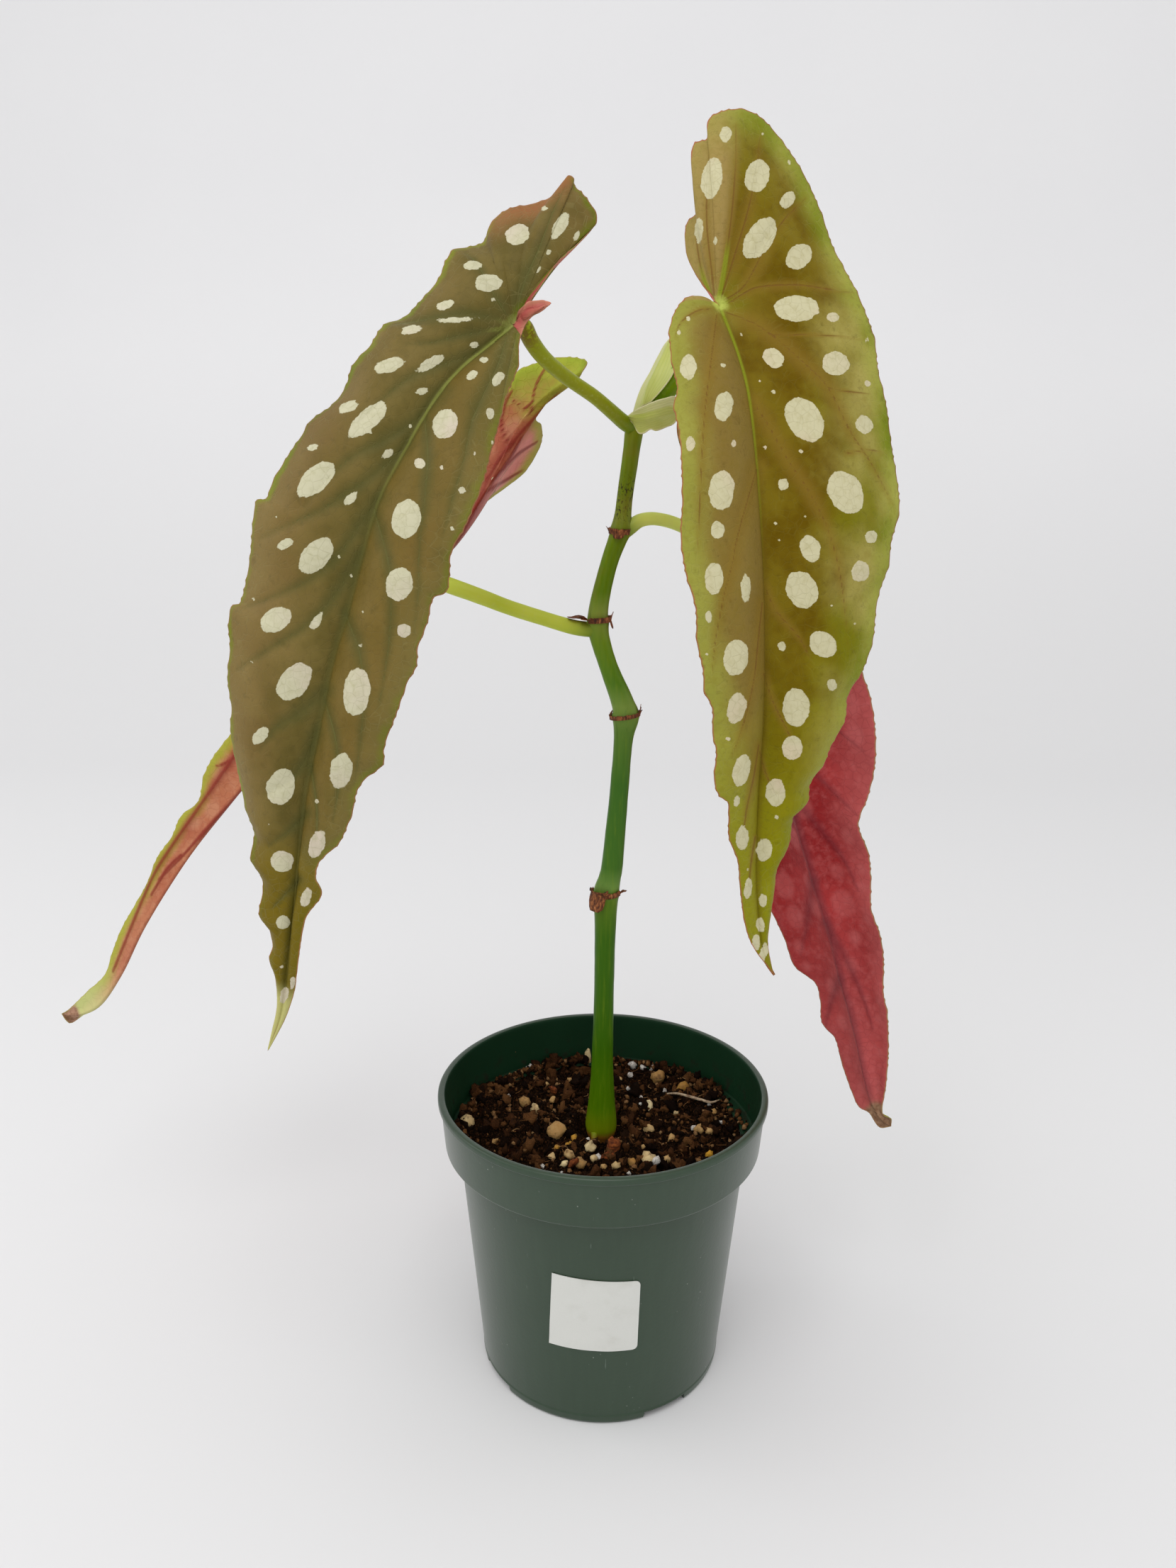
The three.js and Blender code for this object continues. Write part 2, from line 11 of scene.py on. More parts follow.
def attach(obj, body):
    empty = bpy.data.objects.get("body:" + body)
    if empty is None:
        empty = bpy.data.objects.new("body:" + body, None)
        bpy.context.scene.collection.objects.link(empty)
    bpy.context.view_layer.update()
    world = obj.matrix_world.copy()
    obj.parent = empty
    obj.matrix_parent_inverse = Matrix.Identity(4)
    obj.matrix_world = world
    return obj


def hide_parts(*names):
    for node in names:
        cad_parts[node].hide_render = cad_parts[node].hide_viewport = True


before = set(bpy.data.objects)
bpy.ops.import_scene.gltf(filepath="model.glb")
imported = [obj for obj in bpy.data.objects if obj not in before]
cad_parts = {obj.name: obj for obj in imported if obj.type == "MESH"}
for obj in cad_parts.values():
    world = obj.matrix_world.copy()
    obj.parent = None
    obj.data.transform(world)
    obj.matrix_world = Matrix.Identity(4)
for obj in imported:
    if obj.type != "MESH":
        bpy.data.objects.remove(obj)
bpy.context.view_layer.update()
mm = 0.001

# The camera: a phone held a third of a metre off, looking a little down at the plant.
# The picture is 1659 x 2212 pixels, and one pixel number below is one of those.
photo_width = 1659
photo_height = 2212
focal_pixels = 1661
sensor_size = 36
camera_place = Vector((0, -0.3499, 0.2913))
camera_heading = 0.92
camera_dip = 14.72
camera_roll = 0.42
camera_turn = (
    Matrix.Rotation(math.radians(camera_heading), 3, "Z")
    @ Matrix.Rotation(math.radians(90 - camera_dip), 3, "X")
    @ Matrix.Rotation(math.radians(camera_roll), 3, "Z")
)


def to_photo(points):
    """Where points in metres fall in the picture, in pixels."""
    local = (np.asarray(points) - np.array(camera_place)) @ np.array(camera_turn)
    across = photo_width / 2 + focal_pixels * local[:, 0] / -local[:, 2]
    down = photo_height / 2 - focal_pixels * local[:, 1] / -local[:, 2]
    return np.stack([across, down], 1)


def from_photo(x, y, depth):
    """The point in millimetres that a pixel shows, at that depth along Y, also in millimetres."""
    across = (x - photo_width / 2) / focal_pixels
    up = (photo_height / 2 - y) / focal_pixels
    sight = camera_turn @ Vector((across, up, -1))
    return (camera_place + sight * ((depth * mm - camera_place.y) / sight.y)) / mm


camera = bpy.data.objects.new("camera", bpy.data.cameras.new("camera"))
camera.data.sensor_width = sensor_size
camera.data.lens = sensor_size * focal_pixels / photo_height
camera.data.clip_start = 0.01
camera.matrix_world = Matrix.Translation(camera_place) @ camera_turn.to_4x4()
bpy.context.scene.collection.objects.link(camera)
bpy.context.scene.camera = camera
bpy.context.scene.view_settings.view_transform = "Standard"


# The studio: a seamless sheet of pale card that runs back and curves up behind the plant.
# It is lit by a bright even room, a large soft lamp above the camera and a weaker one on the left.
def rgb(red, green, blue):
    """A colour as seen on screen, 0 to 255, as the light that a shader wants."""
    return tuple(
        c / 255 / 12.92 if c < 10.3 else ((c / 255 + 0.055) / 1.055) ** 2.4 for c in (red, green, blue)
    ) + (1.0,)


class Wire:
    """A shader value. A sum with numbers or other wires adds its own Math nodes."""

    def __init__(self, tree, socket):
        self.tree = tree
        self.socket = socket

    def node(self, kind, settings, values, output=0):
        """One new node: its settings first, then what each socket holds or is linked to."""
        made = self.tree.nodes.new(kind)
        for name, setting in settings.items():
            if name == "stops":
                ramp = made.color_ramp.elements
                while len(ramp) < len(setting):
                    ramp.new(0.5)
                for stop, (place, colour) in zip(ramp, setting):
                    stop.position = place
                    stop.color = colour
            else:
                setattr(made, name, setting)
        for name, value in values.items():
            if isinstance(value, Wire):
                self.tree.links.new(value.socket, made.inputs[name])
            else:
                made.inputs[name].default_value = value
        return Wire(self.tree, made.outputs[output])

    def maths(self, operation, first, second=0.0):
        return self.node("ShaderNodeMath", {"operation": operation}, {0: first, 1: second})

    def __add__(self, other):
        return self.maths("ADD", self, other)

    def __radd__(self, other):
        return self.maths("ADD", other, self)

    def __sub__(self, other):
        return self.maths("SUBTRACT", self, other)

    def __rsub__(self, other):
        return self.maths("SUBTRACT", other, self)

    def __mul__(self, other):
        return self.maths("MULTIPLY", self, other)

    def __rmul__(self, other):
        return self.maths("MULTIPLY", other, self)

    def step(self, low, high):
        """0 below low, 1 above high, and a soft rise between."""
        return self.node(
            "ShaderNodeMapRange",
            {"interpolation_type": "SMOOTHSTEP"},
            {"Value": self, "From Min": low, "From Max": high},
        )

    def blend(self, first, second):
        """The first colour where this mask is 0, the second where it is 1."""
        return self.node("ShaderNodeMix", {"data_type": "RGBA"}, {0: self, 6: first, 7: second}, output=2)

    def grain(self, scale, detail=2.0, roughness=0.5):
        """Cloudy noise over a place, from 0 to 1; the scale is in waves a metre."""
        return self.node(
            "ShaderNodeTexNoise",
            {},
            {"Vector": self, "Scale": scale, "Detail": detail, "Roughness": roughness},
        )

    def cells(self, scale, feature="F1"):
        """Distance inside a pattern of cells; the scale is in cells a metre."""
        return self.node("ShaderNodeTexVoronoi", {"feature": feature}, {"Vector": self, "Scale": scale})

    def stretch(self, x, y, z):
        """This place drawn out or squeezed along the three axes."""
        return self.node("ShaderNodeVectorMath", {"operation": "MULTIPLY"}, {0: self, 1: (x, y, z)})

    def part(self, axis):
        """One of the three numbers of a place: 0, 1 or 2."""
        return self.node("ShaderNodeSeparateXYZ", {}, {0: self}, output=axis)

    def ramp(self, *stops):
        """A run of colours along this value."""
        return self.node("ShaderNodeValToRGB", {"stops": stops}, {0: self})

    def painted(self, name):
        """A number that each point of the mesh carries under that name."""
        return self.node("ShaderNodeAttribute", {"attribute_name": name}, {}, output=2)

    def relief(self, strength, depth):
        """This value as relief on the surface, that many metres deep."""
        bump = {"Strength": strength, "Distance": depth, "Height": self}
        self.node("ShaderNodeBump", {}, bump).feed("Normal")

    def feed(self, socket):
        """Ends in that socket of the material's shader."""
        self.tree.links.new(self.socket, self.tree.nodes["Principled BSDF"].inputs[socket])


def finish(name, **same):
    """A new material with the numbers that hold all over it, and the wire that carries its place."""
    material = bpy.data.materials.new(name)
    material.use_nodes = True
    shader = material.node_tree.nodes["Principled BSDF"]
    for socket, value in same.items():
        shader.inputs[socket.replace("_", " ")].default_value = value
    return material, Wire(material.node_tree, None).node("ShaderNodeTexCoord", {}, {}, output=3)


def make_piece(name, points, faces, *finishes, finish_of_face=None, values=None):
    """A mesh from points in millimetres, with its materials and the numbers that each point carries."""
    mesh = bpy.data.meshes.new(name)
    mesh.from_pydata((np.asarray(points, float) * mm).tolist(), [], [list(face) for face in faces])
    for material in finishes:
        mesh.materials.append(material)
    if finish_of_face is not None:
        mesh.polygons.foreach_set("material_index", finish_of_face)
    for what, numbers in (values or {}).items():
        carried = mesh.attributes.new(what, "FLOAT", "POINT")
        carried.data.foreach_set("value", np.asarray(numbers, np.float32))
    mesh.polygons.foreach_set("use_smooth", [True] * len(mesh.polygons))
    piece = bpy.data.objects.new(name, mesh)
    bpy.context.scene.collection.objects.link(piece)
    return piece


sweep_bend = 700
sweep_back = 1500
sweep_front = -1400
sweep_height = 2200
sweep_side = 2600
bend_steps = 24
bend_start = sweep_back - sweep_bend
sweep_line = [(sweep_front, 0), (bend_start, 0)]
for step in range(1, bend_steps):
    turn = math.pi / 2 * step / bend_steps
    sweep_line.append((bend_start + sweep_bend * math.sin(turn), sweep_bend - sweep_bend * math.cos(turn)))
sweep_line += [(sweep_back, sweep_bend), (sweep_back, sweep_height)]
card, card_place = finish("pale_card", Roughness=0.85, Specular_IOR_Level=0.2)
wall_tone = card_place.grain(5, 3).blend(rgb(236, 236, 238), rgb(240, 240, 241))
# The card is painted darker at the floor, rising to the wall's tone half a metre up: painted shade, as
# floor and wall are one card
card_place.part(2).step(0.0, 0.5).blend(rgb(227, 227, 228), wall_tone).feed("Base Color")
card_place.grain(1400, 3).relief(0.04, 0.0002)
sweep = make_piece(
    "backdrop",
    [(side * sweep_side, y, z) for y, z in sweep_line for side in (-1, 1)],
    [(2 * i, 2 * i + 1, 2 * i + 3, 2 * i + 2) for i in range(len(sweep_line) - 1)],
    card,
)

room_light = (1.0, 0.995, 0.99, 1.0)
room_strength = 0.84
room = bpy.data.worlds.new("room")
room.use_nodes = True
room_inputs = room.node_tree.nodes["Background"].inputs
room_inputs["Color"].default_value = room_light
room_inputs["Strength"].default_value = room_strength
bpy.context.scene.world = room


def soft_lamp(name, place, target, size, power):
    """A square soft box that looks at a point: places and size in metres, power in watts."""
    lamp = bpy.data.objects.new(name, bpy.data.lights.new(name, "AREA"))
    lamp.data.shape = "SQUARE"
    lamp.data.size = size
    lamp.data.energy = power
    lamp.location = place
    lamp.rotation_euler = (Vector(target) - Vector(place)).to_track_quat("-Z", "Y").to_euler()
    bpy.context.scene.collection.objects.link(lamp)


soft_lamp("lamp_over_camera", place=(-0.15, -0.75, 1.35), target=(0, 0, 0.18), size=0.9, power=6.5)
soft_lamp("lamp_left", place=(-1.2, 0.1, 0.9), target=(0, 0, 0.2), size=0.8, power=2.5)

# Nursery pot: thin green plastic, drawn into a mould from one sheet. A wider band under the rim
# makes an inner ledge, the lip is a small bead, and the foot has four notches to drain through.
foot_radius = 40.2
shoulder_radius = 47.3
shoulder_height = 79.2
band_radius = 52
rim_radius = 54
rim_height = 96.9
pot_wall = 1.3
lip_height = 2.1
base_thickness = 2
ledge_height = shoulder_height + pot_wall
lip_bottom = rim_height - lip_height
pot_sides = 192
# Each corner of the section: radius, height, and how far its rounding reaches
pot_section = [
    (0, 0, 0), (foot_radius - 0.6, 0, 0.6), (foot_radius, 0.8, 0.5),
    (foot_radius + 0.28, 3.0, 0.3), (foot_radius + 0.16, 3.5, 0.3),
    (shoulder_radius, shoulder_height - 0.2, 0.5), (band_radius - 0.2, shoulder_height, 0.8),
    (rim_radius - 0.9, lip_bottom - 0.3, 0.4), (rim_radius, lip_bottom, 0.3),
    (rim_radius, rim_height, 1.0), (rim_radius - 2.3, rim_height, 0.9),
    (rim_radius - 2.5, rim_height - 1.6, 0.5), (band_radius - pot_wall - 0.2, ledge_height, 0.7),
    (shoulder_radius - pot_wall, ledge_height, 0.6), (foot_radius - pot_wall, base_thickness, 1.0),
    (0, base_thickness, 0),
]
notch_count = 4
notch_turn = 32
notch_width = 17
notch_depth = 7
notch_height = 2.6
notch_taper = 0.8
notch_overhang = 1.4
# What is spun round the axis keeps a pin hole there, closed by a face at each end
pin_radius = 0.05


def rounded(corners, steps=4):
    """A line through corners, each replaced by a short curve that starts and ends at its reach."""
    most_of_side = 0.45
    line = [np.array(corners[0][:2], float)]
    for before, here, after in zip(corners, corners[1:], corners[2:]):
        corner = np.array(here[:2], float)
        back = np.array(before[:2], float) - corner
        ahead = np.array(after[:2], float) - corner
        start = corner + back * min(most_of_side, here[2] / np.linalg.norm(back))
        end = corner + ahead * min(most_of_side, here[2] / np.linalg.norm(ahead))
        for i in range(steps + 1):
            t = i / steps
            line.append((1 - t) ** 2 * start + 2 * t * (1 - t) * corner + t * t * end)
    return line + [np.array(corners[-1][:2], float)]


def ring_faces(rings, sides):
    """The faces between rings of points, one ring after another, with both ends closed."""
    quads = [
        (i * sides + j, i * sides + (j + 1) % sides, (i + 1) * sides + (j + 1) % sides, (i + 1) * sides + j)
        for i in range(rings - 1)
        for j in range(sides)
    ]
    last = (rings - 1) * sides
    return quads + [list(range(sides))[::-1], list(range(last, last + sides))]


def turned(section, sides):
    """Points and faces of a section, radius and height, spun round the Z axis."""
    turns = np.linspace(0, 2 * math.pi, sides, endpoint=False)
    points = np.array([(r * math.sin(t), -r * math.cos(t), z) for r, z in section for t in turns])
    return points, ring_faces(len(section), sides)


def around(turn, radius, height):
    """A point at a turn in degrees from the front, positive towards +X."""
    return (radius * math.sin(math.radians(turn)), -radius * math.cos(math.radians(turn)), height)


section = rounded(pot_section)
section[0][0] = pin_radius
section[-1][0] = pin_radius
plastic, plastic_place = finish(
    "pot_plastic", Specular_IOR_Level=0.5, Sheen_Weight=0.2, Sheen_Roughness=0.35
)
cloud = plastic_place.grain(22, 3)
streak = plastic_place.stretch(1, 1, 0.12).grain(420, 2).step(0.35, 0.8)
green = (0.6 * cloud + 0.25 * streak).blend(rgb(34, 55, 36), rgb(46, 67, 47))
scratch_lines = plastic_place.stretch(1, 1, 0.05).grain(1300, 3).step(0.71, 0.76)
scratch_lines = scratch_lines * plastic_place.grain(60).step(0.5, 0.62)
dust = 1 - plastic_place.cells(420).step(0.05, 0.11)
dust = dust * plastic_place.grain(75).step(0.56, 0.68)
scratched = (scratch_lines * 0.35).blend(green, rgb(120, 134, 122))
(dust * 0.55).blend(scratched, rgb(190, 192, 184)).feed("Base Color")
(0.3 + 0.14 * cloud).feed("Roughness")
(plastic_place.grain(900, 2) + 0.5 * plastic_place.grain(140, 2)).relief(0.22, 0.00012)
# Inside, the plastic is painted a darker green than outside and reflects less: painted shade within the
# pot. Above the soil it is smeared with peat
shaded_inside, shaded_inside_place = finish("pot_inside", Specular_IOR_Level=0.12)
smear = shaded_inside_place.grain(260, 4).step(0.52, 0.68) * (1 - shaded_inside_place.part(2).step(0.082, 0.0905))
shaded_wall_green = shaded_inside_place.grain(40, 3).blend(rgb(14, 42, 22), rgb(22, 55, 34))
(smear * 0.6).blend(shaded_wall_green, rgb(36, 26, 18)).feed("Base Color")
(0.5 + 0.3 * smear).feed("Roughness")
shaded_inside_place.grain(900, 2).relief(0.22, 0.00012)

points, faces = turned(section, pot_sides)
pot = make_piece("nursery_pot", points, faces, plastic, shaded_inside)
cutter_points = []
cutter_faces = []
for i in range(notch_count):
    turn = notch_turn + 360 * i / notch_count
    centre = around(turn, foot_radius - notch_depth / 2 + notch_overhang, 0)
    angle = math.radians(turn)
    start = len(cutter_points)
    for x in (-1, 1):
        for y in (-1, 1):
            for z in (-1, 1):
                slide = x * (notch_width / 2 - (notch_taper if z > 0 else 0))
                push = y * notch_depth / 2
                cutter_points.append((
                    centre[0] + slide * math.cos(angle) - push * math.sin(angle),
                    centre[1] + slide * math.sin(angle) + push * math.cos(angle),
                    z * notch_height,
                ))
    for quad in ((0, 1, 3, 2), (4, 6, 7, 5), (0, 4, 5, 1), (2, 3, 7, 6), (0, 2, 6, 4), (1, 5, 7, 3)):
        cutter_faces.append([start + k for k in quad])
cutter = make_piece("notch_cutter", cutter_points, cutter_faces)
carve = pot.modifiers.new("notches", "BOOLEAN")
carve.object = cutter
carve.operation = "DIFFERENCE"
carve.solver = "EXACT"
carved = bpy.data.meshes.new_from_object(pot.evaluated_get(bpy.context.evaluated_depsgraph_get()))
pot.modifiers.clear()
pot.data = carved
bpy.data.objects.remove(cutter)
carved.set_sharp_from_angle(angle=math.radians(35))
# The wall of the band takes the darker inside finish, with its painted shade, from just below the ledge up
# to just inside the lip
shaded_radius = rim_radius - 2.2
shaded_height = ledge_height - 0.5
for face in carved.polygons:
    out = math.hypot(face.center.x, face.center.y) / mm
    if out < shaded_radius and face.center.z / mm > shaded_height:
        face.material_index = 1
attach(pot, "root")
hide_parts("pot")

# Label: a small white paper sticker pressed on the front of the wall by hand, a little askew,
# left bare. Its right corners are rounded and its left edge leans.
# Each corner: turn round the pot in degrees from the front, and height
label_top_left = np.array((-18.9, 57.6))
label_top_right = np.array((15.4, 56.0))
label_low_left = np.array((-21.5, 30.2))
label_low_right = np.array((15.5, 29.7))
label_side = 27
label_thickness = 0.22
label_lift = 0.1
label_rounding = 1.6
label_crease = 0.1
label_cells = 36


def wall_radius(height):
    """Outside radius of the pot's wall at a height."""
    return foot_radius + (shoulder_radius - foot_radius) * height / shoulder_height


def label_point(across, up, lift):
    """A point of the sticker, from its lower left corner (0, 0) to its upper right one (1, 1)."""
    low = label_low_left * (1 - across) + label_low_right * across
    top = label_top_left * (1 - across) + label_top_right * across
    turn, height = low * (1 - up) + top * up
    return around(turn, wall_radius(height) + lift, height)


def sheet_faces(rows, columns):
    """The faces of a thin sheet: two grids of points, one over the other, and the strip round them."""
    row = columns + 1
    over = (rows + 1) * row
    faces = []
    for i in range(rows):
        for j in range(columns):
            a = i * row + j
            faces.append((a, a + 1, a + row + 1, a + row))
            faces.append((a + over, a + over + row, a + over + row + 1, a + over + 1))
    border = list(range(row)) + [i * row + columns for i in range(1, rows + 1)]
    border += [rows * row + j for j in range(columns - 1, -1, -1)]
    border += [i * row for i in range(rows - 1, 0, -1)]
    return faces + [(b, a, a + over, b + over) for a, b in zip(border, border[1:] + border[:1])]


rounding = label_rounding / label_side
label_points = []
for lift in (label_lift, label_lift + label_thickness):
    for i in range(label_cells + 1):
        for j in range(label_cells + 1):
            across = i / label_cells
            up = j / label_cells
            corner = np.array([across - (1 - rounding), rounding - up if up < 0.5 else up - (1 - rounding)])
            if across > 1 - rounding and corner[1] > 0 and np.linalg.norm(corner) > rounding:
                corner *= rounding / np.linalg.norm(corner)
                across = 1 - rounding + corner[0]
                up = rounding - corner[1] if up < 0.5 else 1 - rounding + corner[1]
            bumps = noise.noise(Vector((across * 5, up * 5, 2.0)))
            crease = label_crease * bumps if lift > label_lift else 0
            label_points.append(label_point(across, up, lift + crease))
paper, paper_place = finish("label_paper", Specular_IOR_Level=0.35)
fibre = paper_place.grain(2600, 4, 0.65)
smudge = paper_place.grain(120, 3).step(0.5, 0.75)
(0.5 * fibre + 0.5 * smudge).blend(rgb(216, 217, 212), rgb(200, 200, 193)).feed("Base Color")
(0.45 + 0.25 * fibre).feed("Roughness")
(fibre + paper_place.grain(190, 2)).relief(0.25, 0.0001)
label = make_piece("paper_label", label_points, sheet_faces(label_cells, label_cells), paper)
label.data.set_sharp_from_angle(angle=math.radians(50))
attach(label, "root")
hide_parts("label")

# Soil: dark peat with coarse coir, filled to the ledge, with clods and crumbs on top. Grit, perlite,
# bark chips and a pale twig lie half sunk in it, and crumbs were spilled on the ledge all round.
soil_level = 79.8
soil_radius = shoulder_radius - pot_wall - 0.15
soil_bottom = base_thickness + 0.3
soil_top_rise = 3.4
stem_hole = 3.4
stem_hole_floor = 58
stem_x = -0.4
clod_count = 260
clod_height = 2.9
# The soil sinks in a ring round the stem: how deep, how far out, and half its width
dip_depth = 1.4
dip_radius = 5
dip_width = 2.5


def anywhere(chance, radius):
    """A random place, x and y, in a circle round the pot's axis."""
    reach = radius * math.sqrt(chance.random())
    turn = chance.uniform(0, 2 * math.pi)
    return reach * math.cos(turn), reach * math.sin(turn)


chance = random.Random(7)
clods = [
    (*anywhere(chance, soil_radius), chance.uniform(1.2, 4.5), chance.uniform(-0.7, 0.9))
    for _ in range(clod_count)
]


def soil_height(x, y):
    """Height of the soil's rough top over a point, in millimetres."""
    height = soil_level
    for clod_x, clod_y, size, rise in clods:
        away = ((x - clod_x) ** 2 + (y - clod_y) ** 2) / size ** 2
        if away < 6:
            height += clod_height * rise * math.exp(-away)
    height += 1.8 * noise.noise(Vector((x, y, 3.0)) / 2.2) + 0.8 * noise.noise(Vector((x, y, 9.0)) / 0.9)
    height -= dip_depth * math.exp(-(((math.hypot(x - stem_x, y) - dip_radius) / dip_width) ** 2))
    return min(height, soil_level + soil_top_rise)


soil_rings = 72
soil_spokes = 230
soil_section = [
    (pin_radius, soil_bottom), (foot_radius - pot_wall - 0.6, soil_bottom), (soil_radius, soil_level - 3),
]
soil_section += [
    (soil_radius + (stem_hole - soil_radius) * i / soil_rings, soil_level) for i in range(soil_rings + 1)
]
soil_section += [(stem_hole, stem_hole_floor), (pin_radius, stem_hole_floor)]
points, faces = turned(soil_section, soil_spokes)
for point in points:
    if point[2] == soil_level:
        point[2] = soil_height(point[0], point[1])
peat, peat_place = finish("peat", Roughness=0.95, Specular_IOR_Level=0.03)
fleck = peat_place.grain(1500, 5, 0.7)
clump = peat_place.grain(170, 4, 0.6)
# The near black at the low end of this ramp is painted shade in the gaps between crumbs
earth = fleck.ramp(
    (0.38, rgb(4, 2, 1)), (0.52, rgb(24, 15, 8)), (0.63, rgb(62, 39, 22)), (0.78, rgb(108, 76, 46)),
)
(clump.step(0.5, 0.7) * 0.5).blend(earth, rgb(46, 23, 10)).feed("Base Color")
(fleck + 0.6 * peat_place.grain(620, 3)).relief(1.0, 0.0007)
soil = make_piece("peat_soil", points, faces, peat)
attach(soil, "root")
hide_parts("soil")


def ball(level):
    """Points and faces of a ball of small triangles, radius 1."""
    form = bmesh.new()
    bmesh.ops.create_icosphere(form, subdivisions=level, radius=1)
    points = np.array([v.co for v in form.verts])
    faces = [[v.index for v in f.verts] for f in form.faces]
    form.free()
    return points, faces


def lump(form, place, size, squash, unevenness, chance):
    """A ball pulled into an irregular bit of grit at a place."""
    points, faces = form
    shift = Vector((chance.uniform(0, 90), chance.uniform(0, 90), 0))
    pull = np.array([1 + unevenness * noise.noise(Vector(p) * 1.4 + shift) for p in points])
    turn = Euler([chance.uniform(0, 6.28) for _ in range(3)]).to_matrix()
    return (points * pull[:, None] * np.array(squash)) @ np.array(turn) * size + np.array(place), faces


def gather(bodies):
    """Several bodies as the points and faces of one mesh, and the number of each point's body."""
    faces = []
    owner = []
    for number, (body_points, body_faces) in enumerate(bodies):
        faces += [[len(owner) + k for k in face] for face in body_faces]
        owner += [number] * len(body_points)
    return np.vstack([body_points for body_points, _ in bodies]), faces, np.array(owner)


def lay(name, bodies, surface, tones=None):
    """Loose matter of the mix as one piece; each body may have its own tone, from 0 to 1."""
    points, faces, owner = gather(bodies)
    values = None if tones is None else {"tone": np.array(tones)[owner]}
    piece = make_piece(name, points, faces, surface, values=values)
    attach(piece, "root")


pebble = ball(2)
crumb = ball(1)
small_crumbs = 1500
torn_clods = 330
stem_clearance = 6.2
chance = random.Random(21)
crumbs = []
for _ in range(small_crumbs):
    x, y = anywhere(chance, soil_radius)
    if math.hypot(x - stem_x, y) > stem_clearance:
        size = chance.uniform(0.35, 1.15) ** 1.3
        place = (x, y, soil_height(x, y) + 0.2 * size)
        crumbs.append(lump(crumb, place, size, (1, chance.uniform(0.5, 1), 0.7), 0.8, chance))
# Torn clods of peat, 2 to 6 mm across, half sunk
for _ in range(torn_clods):
    x, y = anywhere(chance, soil_radius)
    size = chance.triangular(1.0, 2.9, 1.3)
    if math.hypot(x - stem_x, y) > 6 + size:
        place = (x, y, soil_height(x, y) + 0.1 * size)
        crumbs.append(lump(pebble, place, size, (1, chance.uniform(0.5, 0.9), 0.6), 1.3, chance))
# Peat spilled on the ledge: from and to, in degrees from the front, and how many crumbs lie there
ledge_spills = [(-75, 62, 300), (62, 118, 60), (118, 205, 420), (-155, -75, 420)]
for start, end, count in ledge_spills:
    for _ in range(count):
        reach = chance.triangular(soil_radius - 0.5, band_radius - pot_wall - 1.2, soil_radius)
        size = chance.uniform(0.4, 1.3)
        heap = chance.uniform(0, 1.1) * max(0, 1.6 - 0.4 * (reach - soil_radius))
        place = around(chance.uniform(start, end), reach, ledge_height + 0.2 * size + heap)
        crumbs.append(lump(crumb, place, size, (1, chance.uniform(0.5, 1), 0.7), 0.8, chance))
# Bigger heaps of it against the wall, behind and on the left: where, in degrees from the front
heap_turns = (-168, -162, -157, -151, -128, -121, -113, -106, -99, -92, -86, 124, 131, 138, 145, 152)
for turn in heap_turns:
    for _ in range(5):
        size = chance.uniform(1.0, 2.2)
        near = turn + chance.uniform(-4, 4)
        place = around(near, chance.uniform(45, 48.5), ledge_height + chance.uniform(0.2, 2.4))
        crumbs.append(lump(pebble, place, size, (1, 0.8, 0.8), 1.4, chance))
# The lone specks of peat that stick to the inside of the rim: turn and height
rim_specks = [
    (-139, 87), (-136, 86.4), (-134, 86), (-141, 87.6), (96, 86), (101, 88), (-150, 84), (88, 84.6),
]
speck_radius = 51.35
for turn, height in rim_specks:
    crumbs.append(lump(crumb, around(turn, speck_radius, height), 0.5, (1, 0.8, 0.6), 0.6, chance))
# Bigger bits are darker
tones = [chance.random() * (0.72 if len(body[0]) == len(pebble[0]) else 1) for body in crumbs]
coir, coir_place = finish("coir_crumbs", Roughness=0.9, Specular_IOR_Level=0.05)
fleck = coir_place.grain(2100, 3, 0.7)
shade = (0.65 * coir_place.painted("tone") + 0.45 * fleck).ramp(
    (0.1, rgb(5, 2, 1)), (0.36, rgb(26, 15, 8)), (0.56, rgb(68, 41, 21)), (0.77, rgb(108, 74, 42)),
    (0.92, rgb(156, 124, 86)),
)
shade.feed("Base Color")
fleck.relief(0.8, 0.0004)
lay("peat_crumbs", crumbs, coir, tones)


def smooth_line(points, steps):
    """A smooth line through the points, with that many steps from each one to the next."""
    known = np.array(points, float)
    known = np.vstack([2 * known[0] - known[1], known, 2 * known[-1] - known[-2]])
    t = (np.arange(steps) / steps)[:, None]
    line = [
        0.5 * (
            2 * b + (c - a) * t + (2 * a - 5 * b + 4 * c - d) * t ** 2 + (3 * b - a - 3 * c + d) * t ** 3
        )
        for a, b, c, d in zip(known, known[1:], known[2:], known[3:])
    ]
    return np.vstack(line + [known[-2:-1]])


def tube(stations, steps, sides):
    """A round stem through stations (x, y, z, radius): its points and faces."""
    line = smooth_line(stations, steps)
    along = np.gradient(line[:, :3], axis=0)
    along /= np.linalg.norm(along, axis=1)[:, None]
    across = np.array([0.0, 1.0, 0.0])
    turns = np.linspace(0, 2 * math.pi, sides, endpoint=False)[:, None]
    points = []
    for place, ahead in zip(line, along):
        across = across - ahead * across.dot(ahead)
        across /= np.linalg.norm(across)
        third = np.cross(ahead, across)
        points.append(place[:3] + place[3] * (np.cos(turns) * across + np.sin(turns) * third))
    return np.vstack(points), ring_faces(len(line), sides)


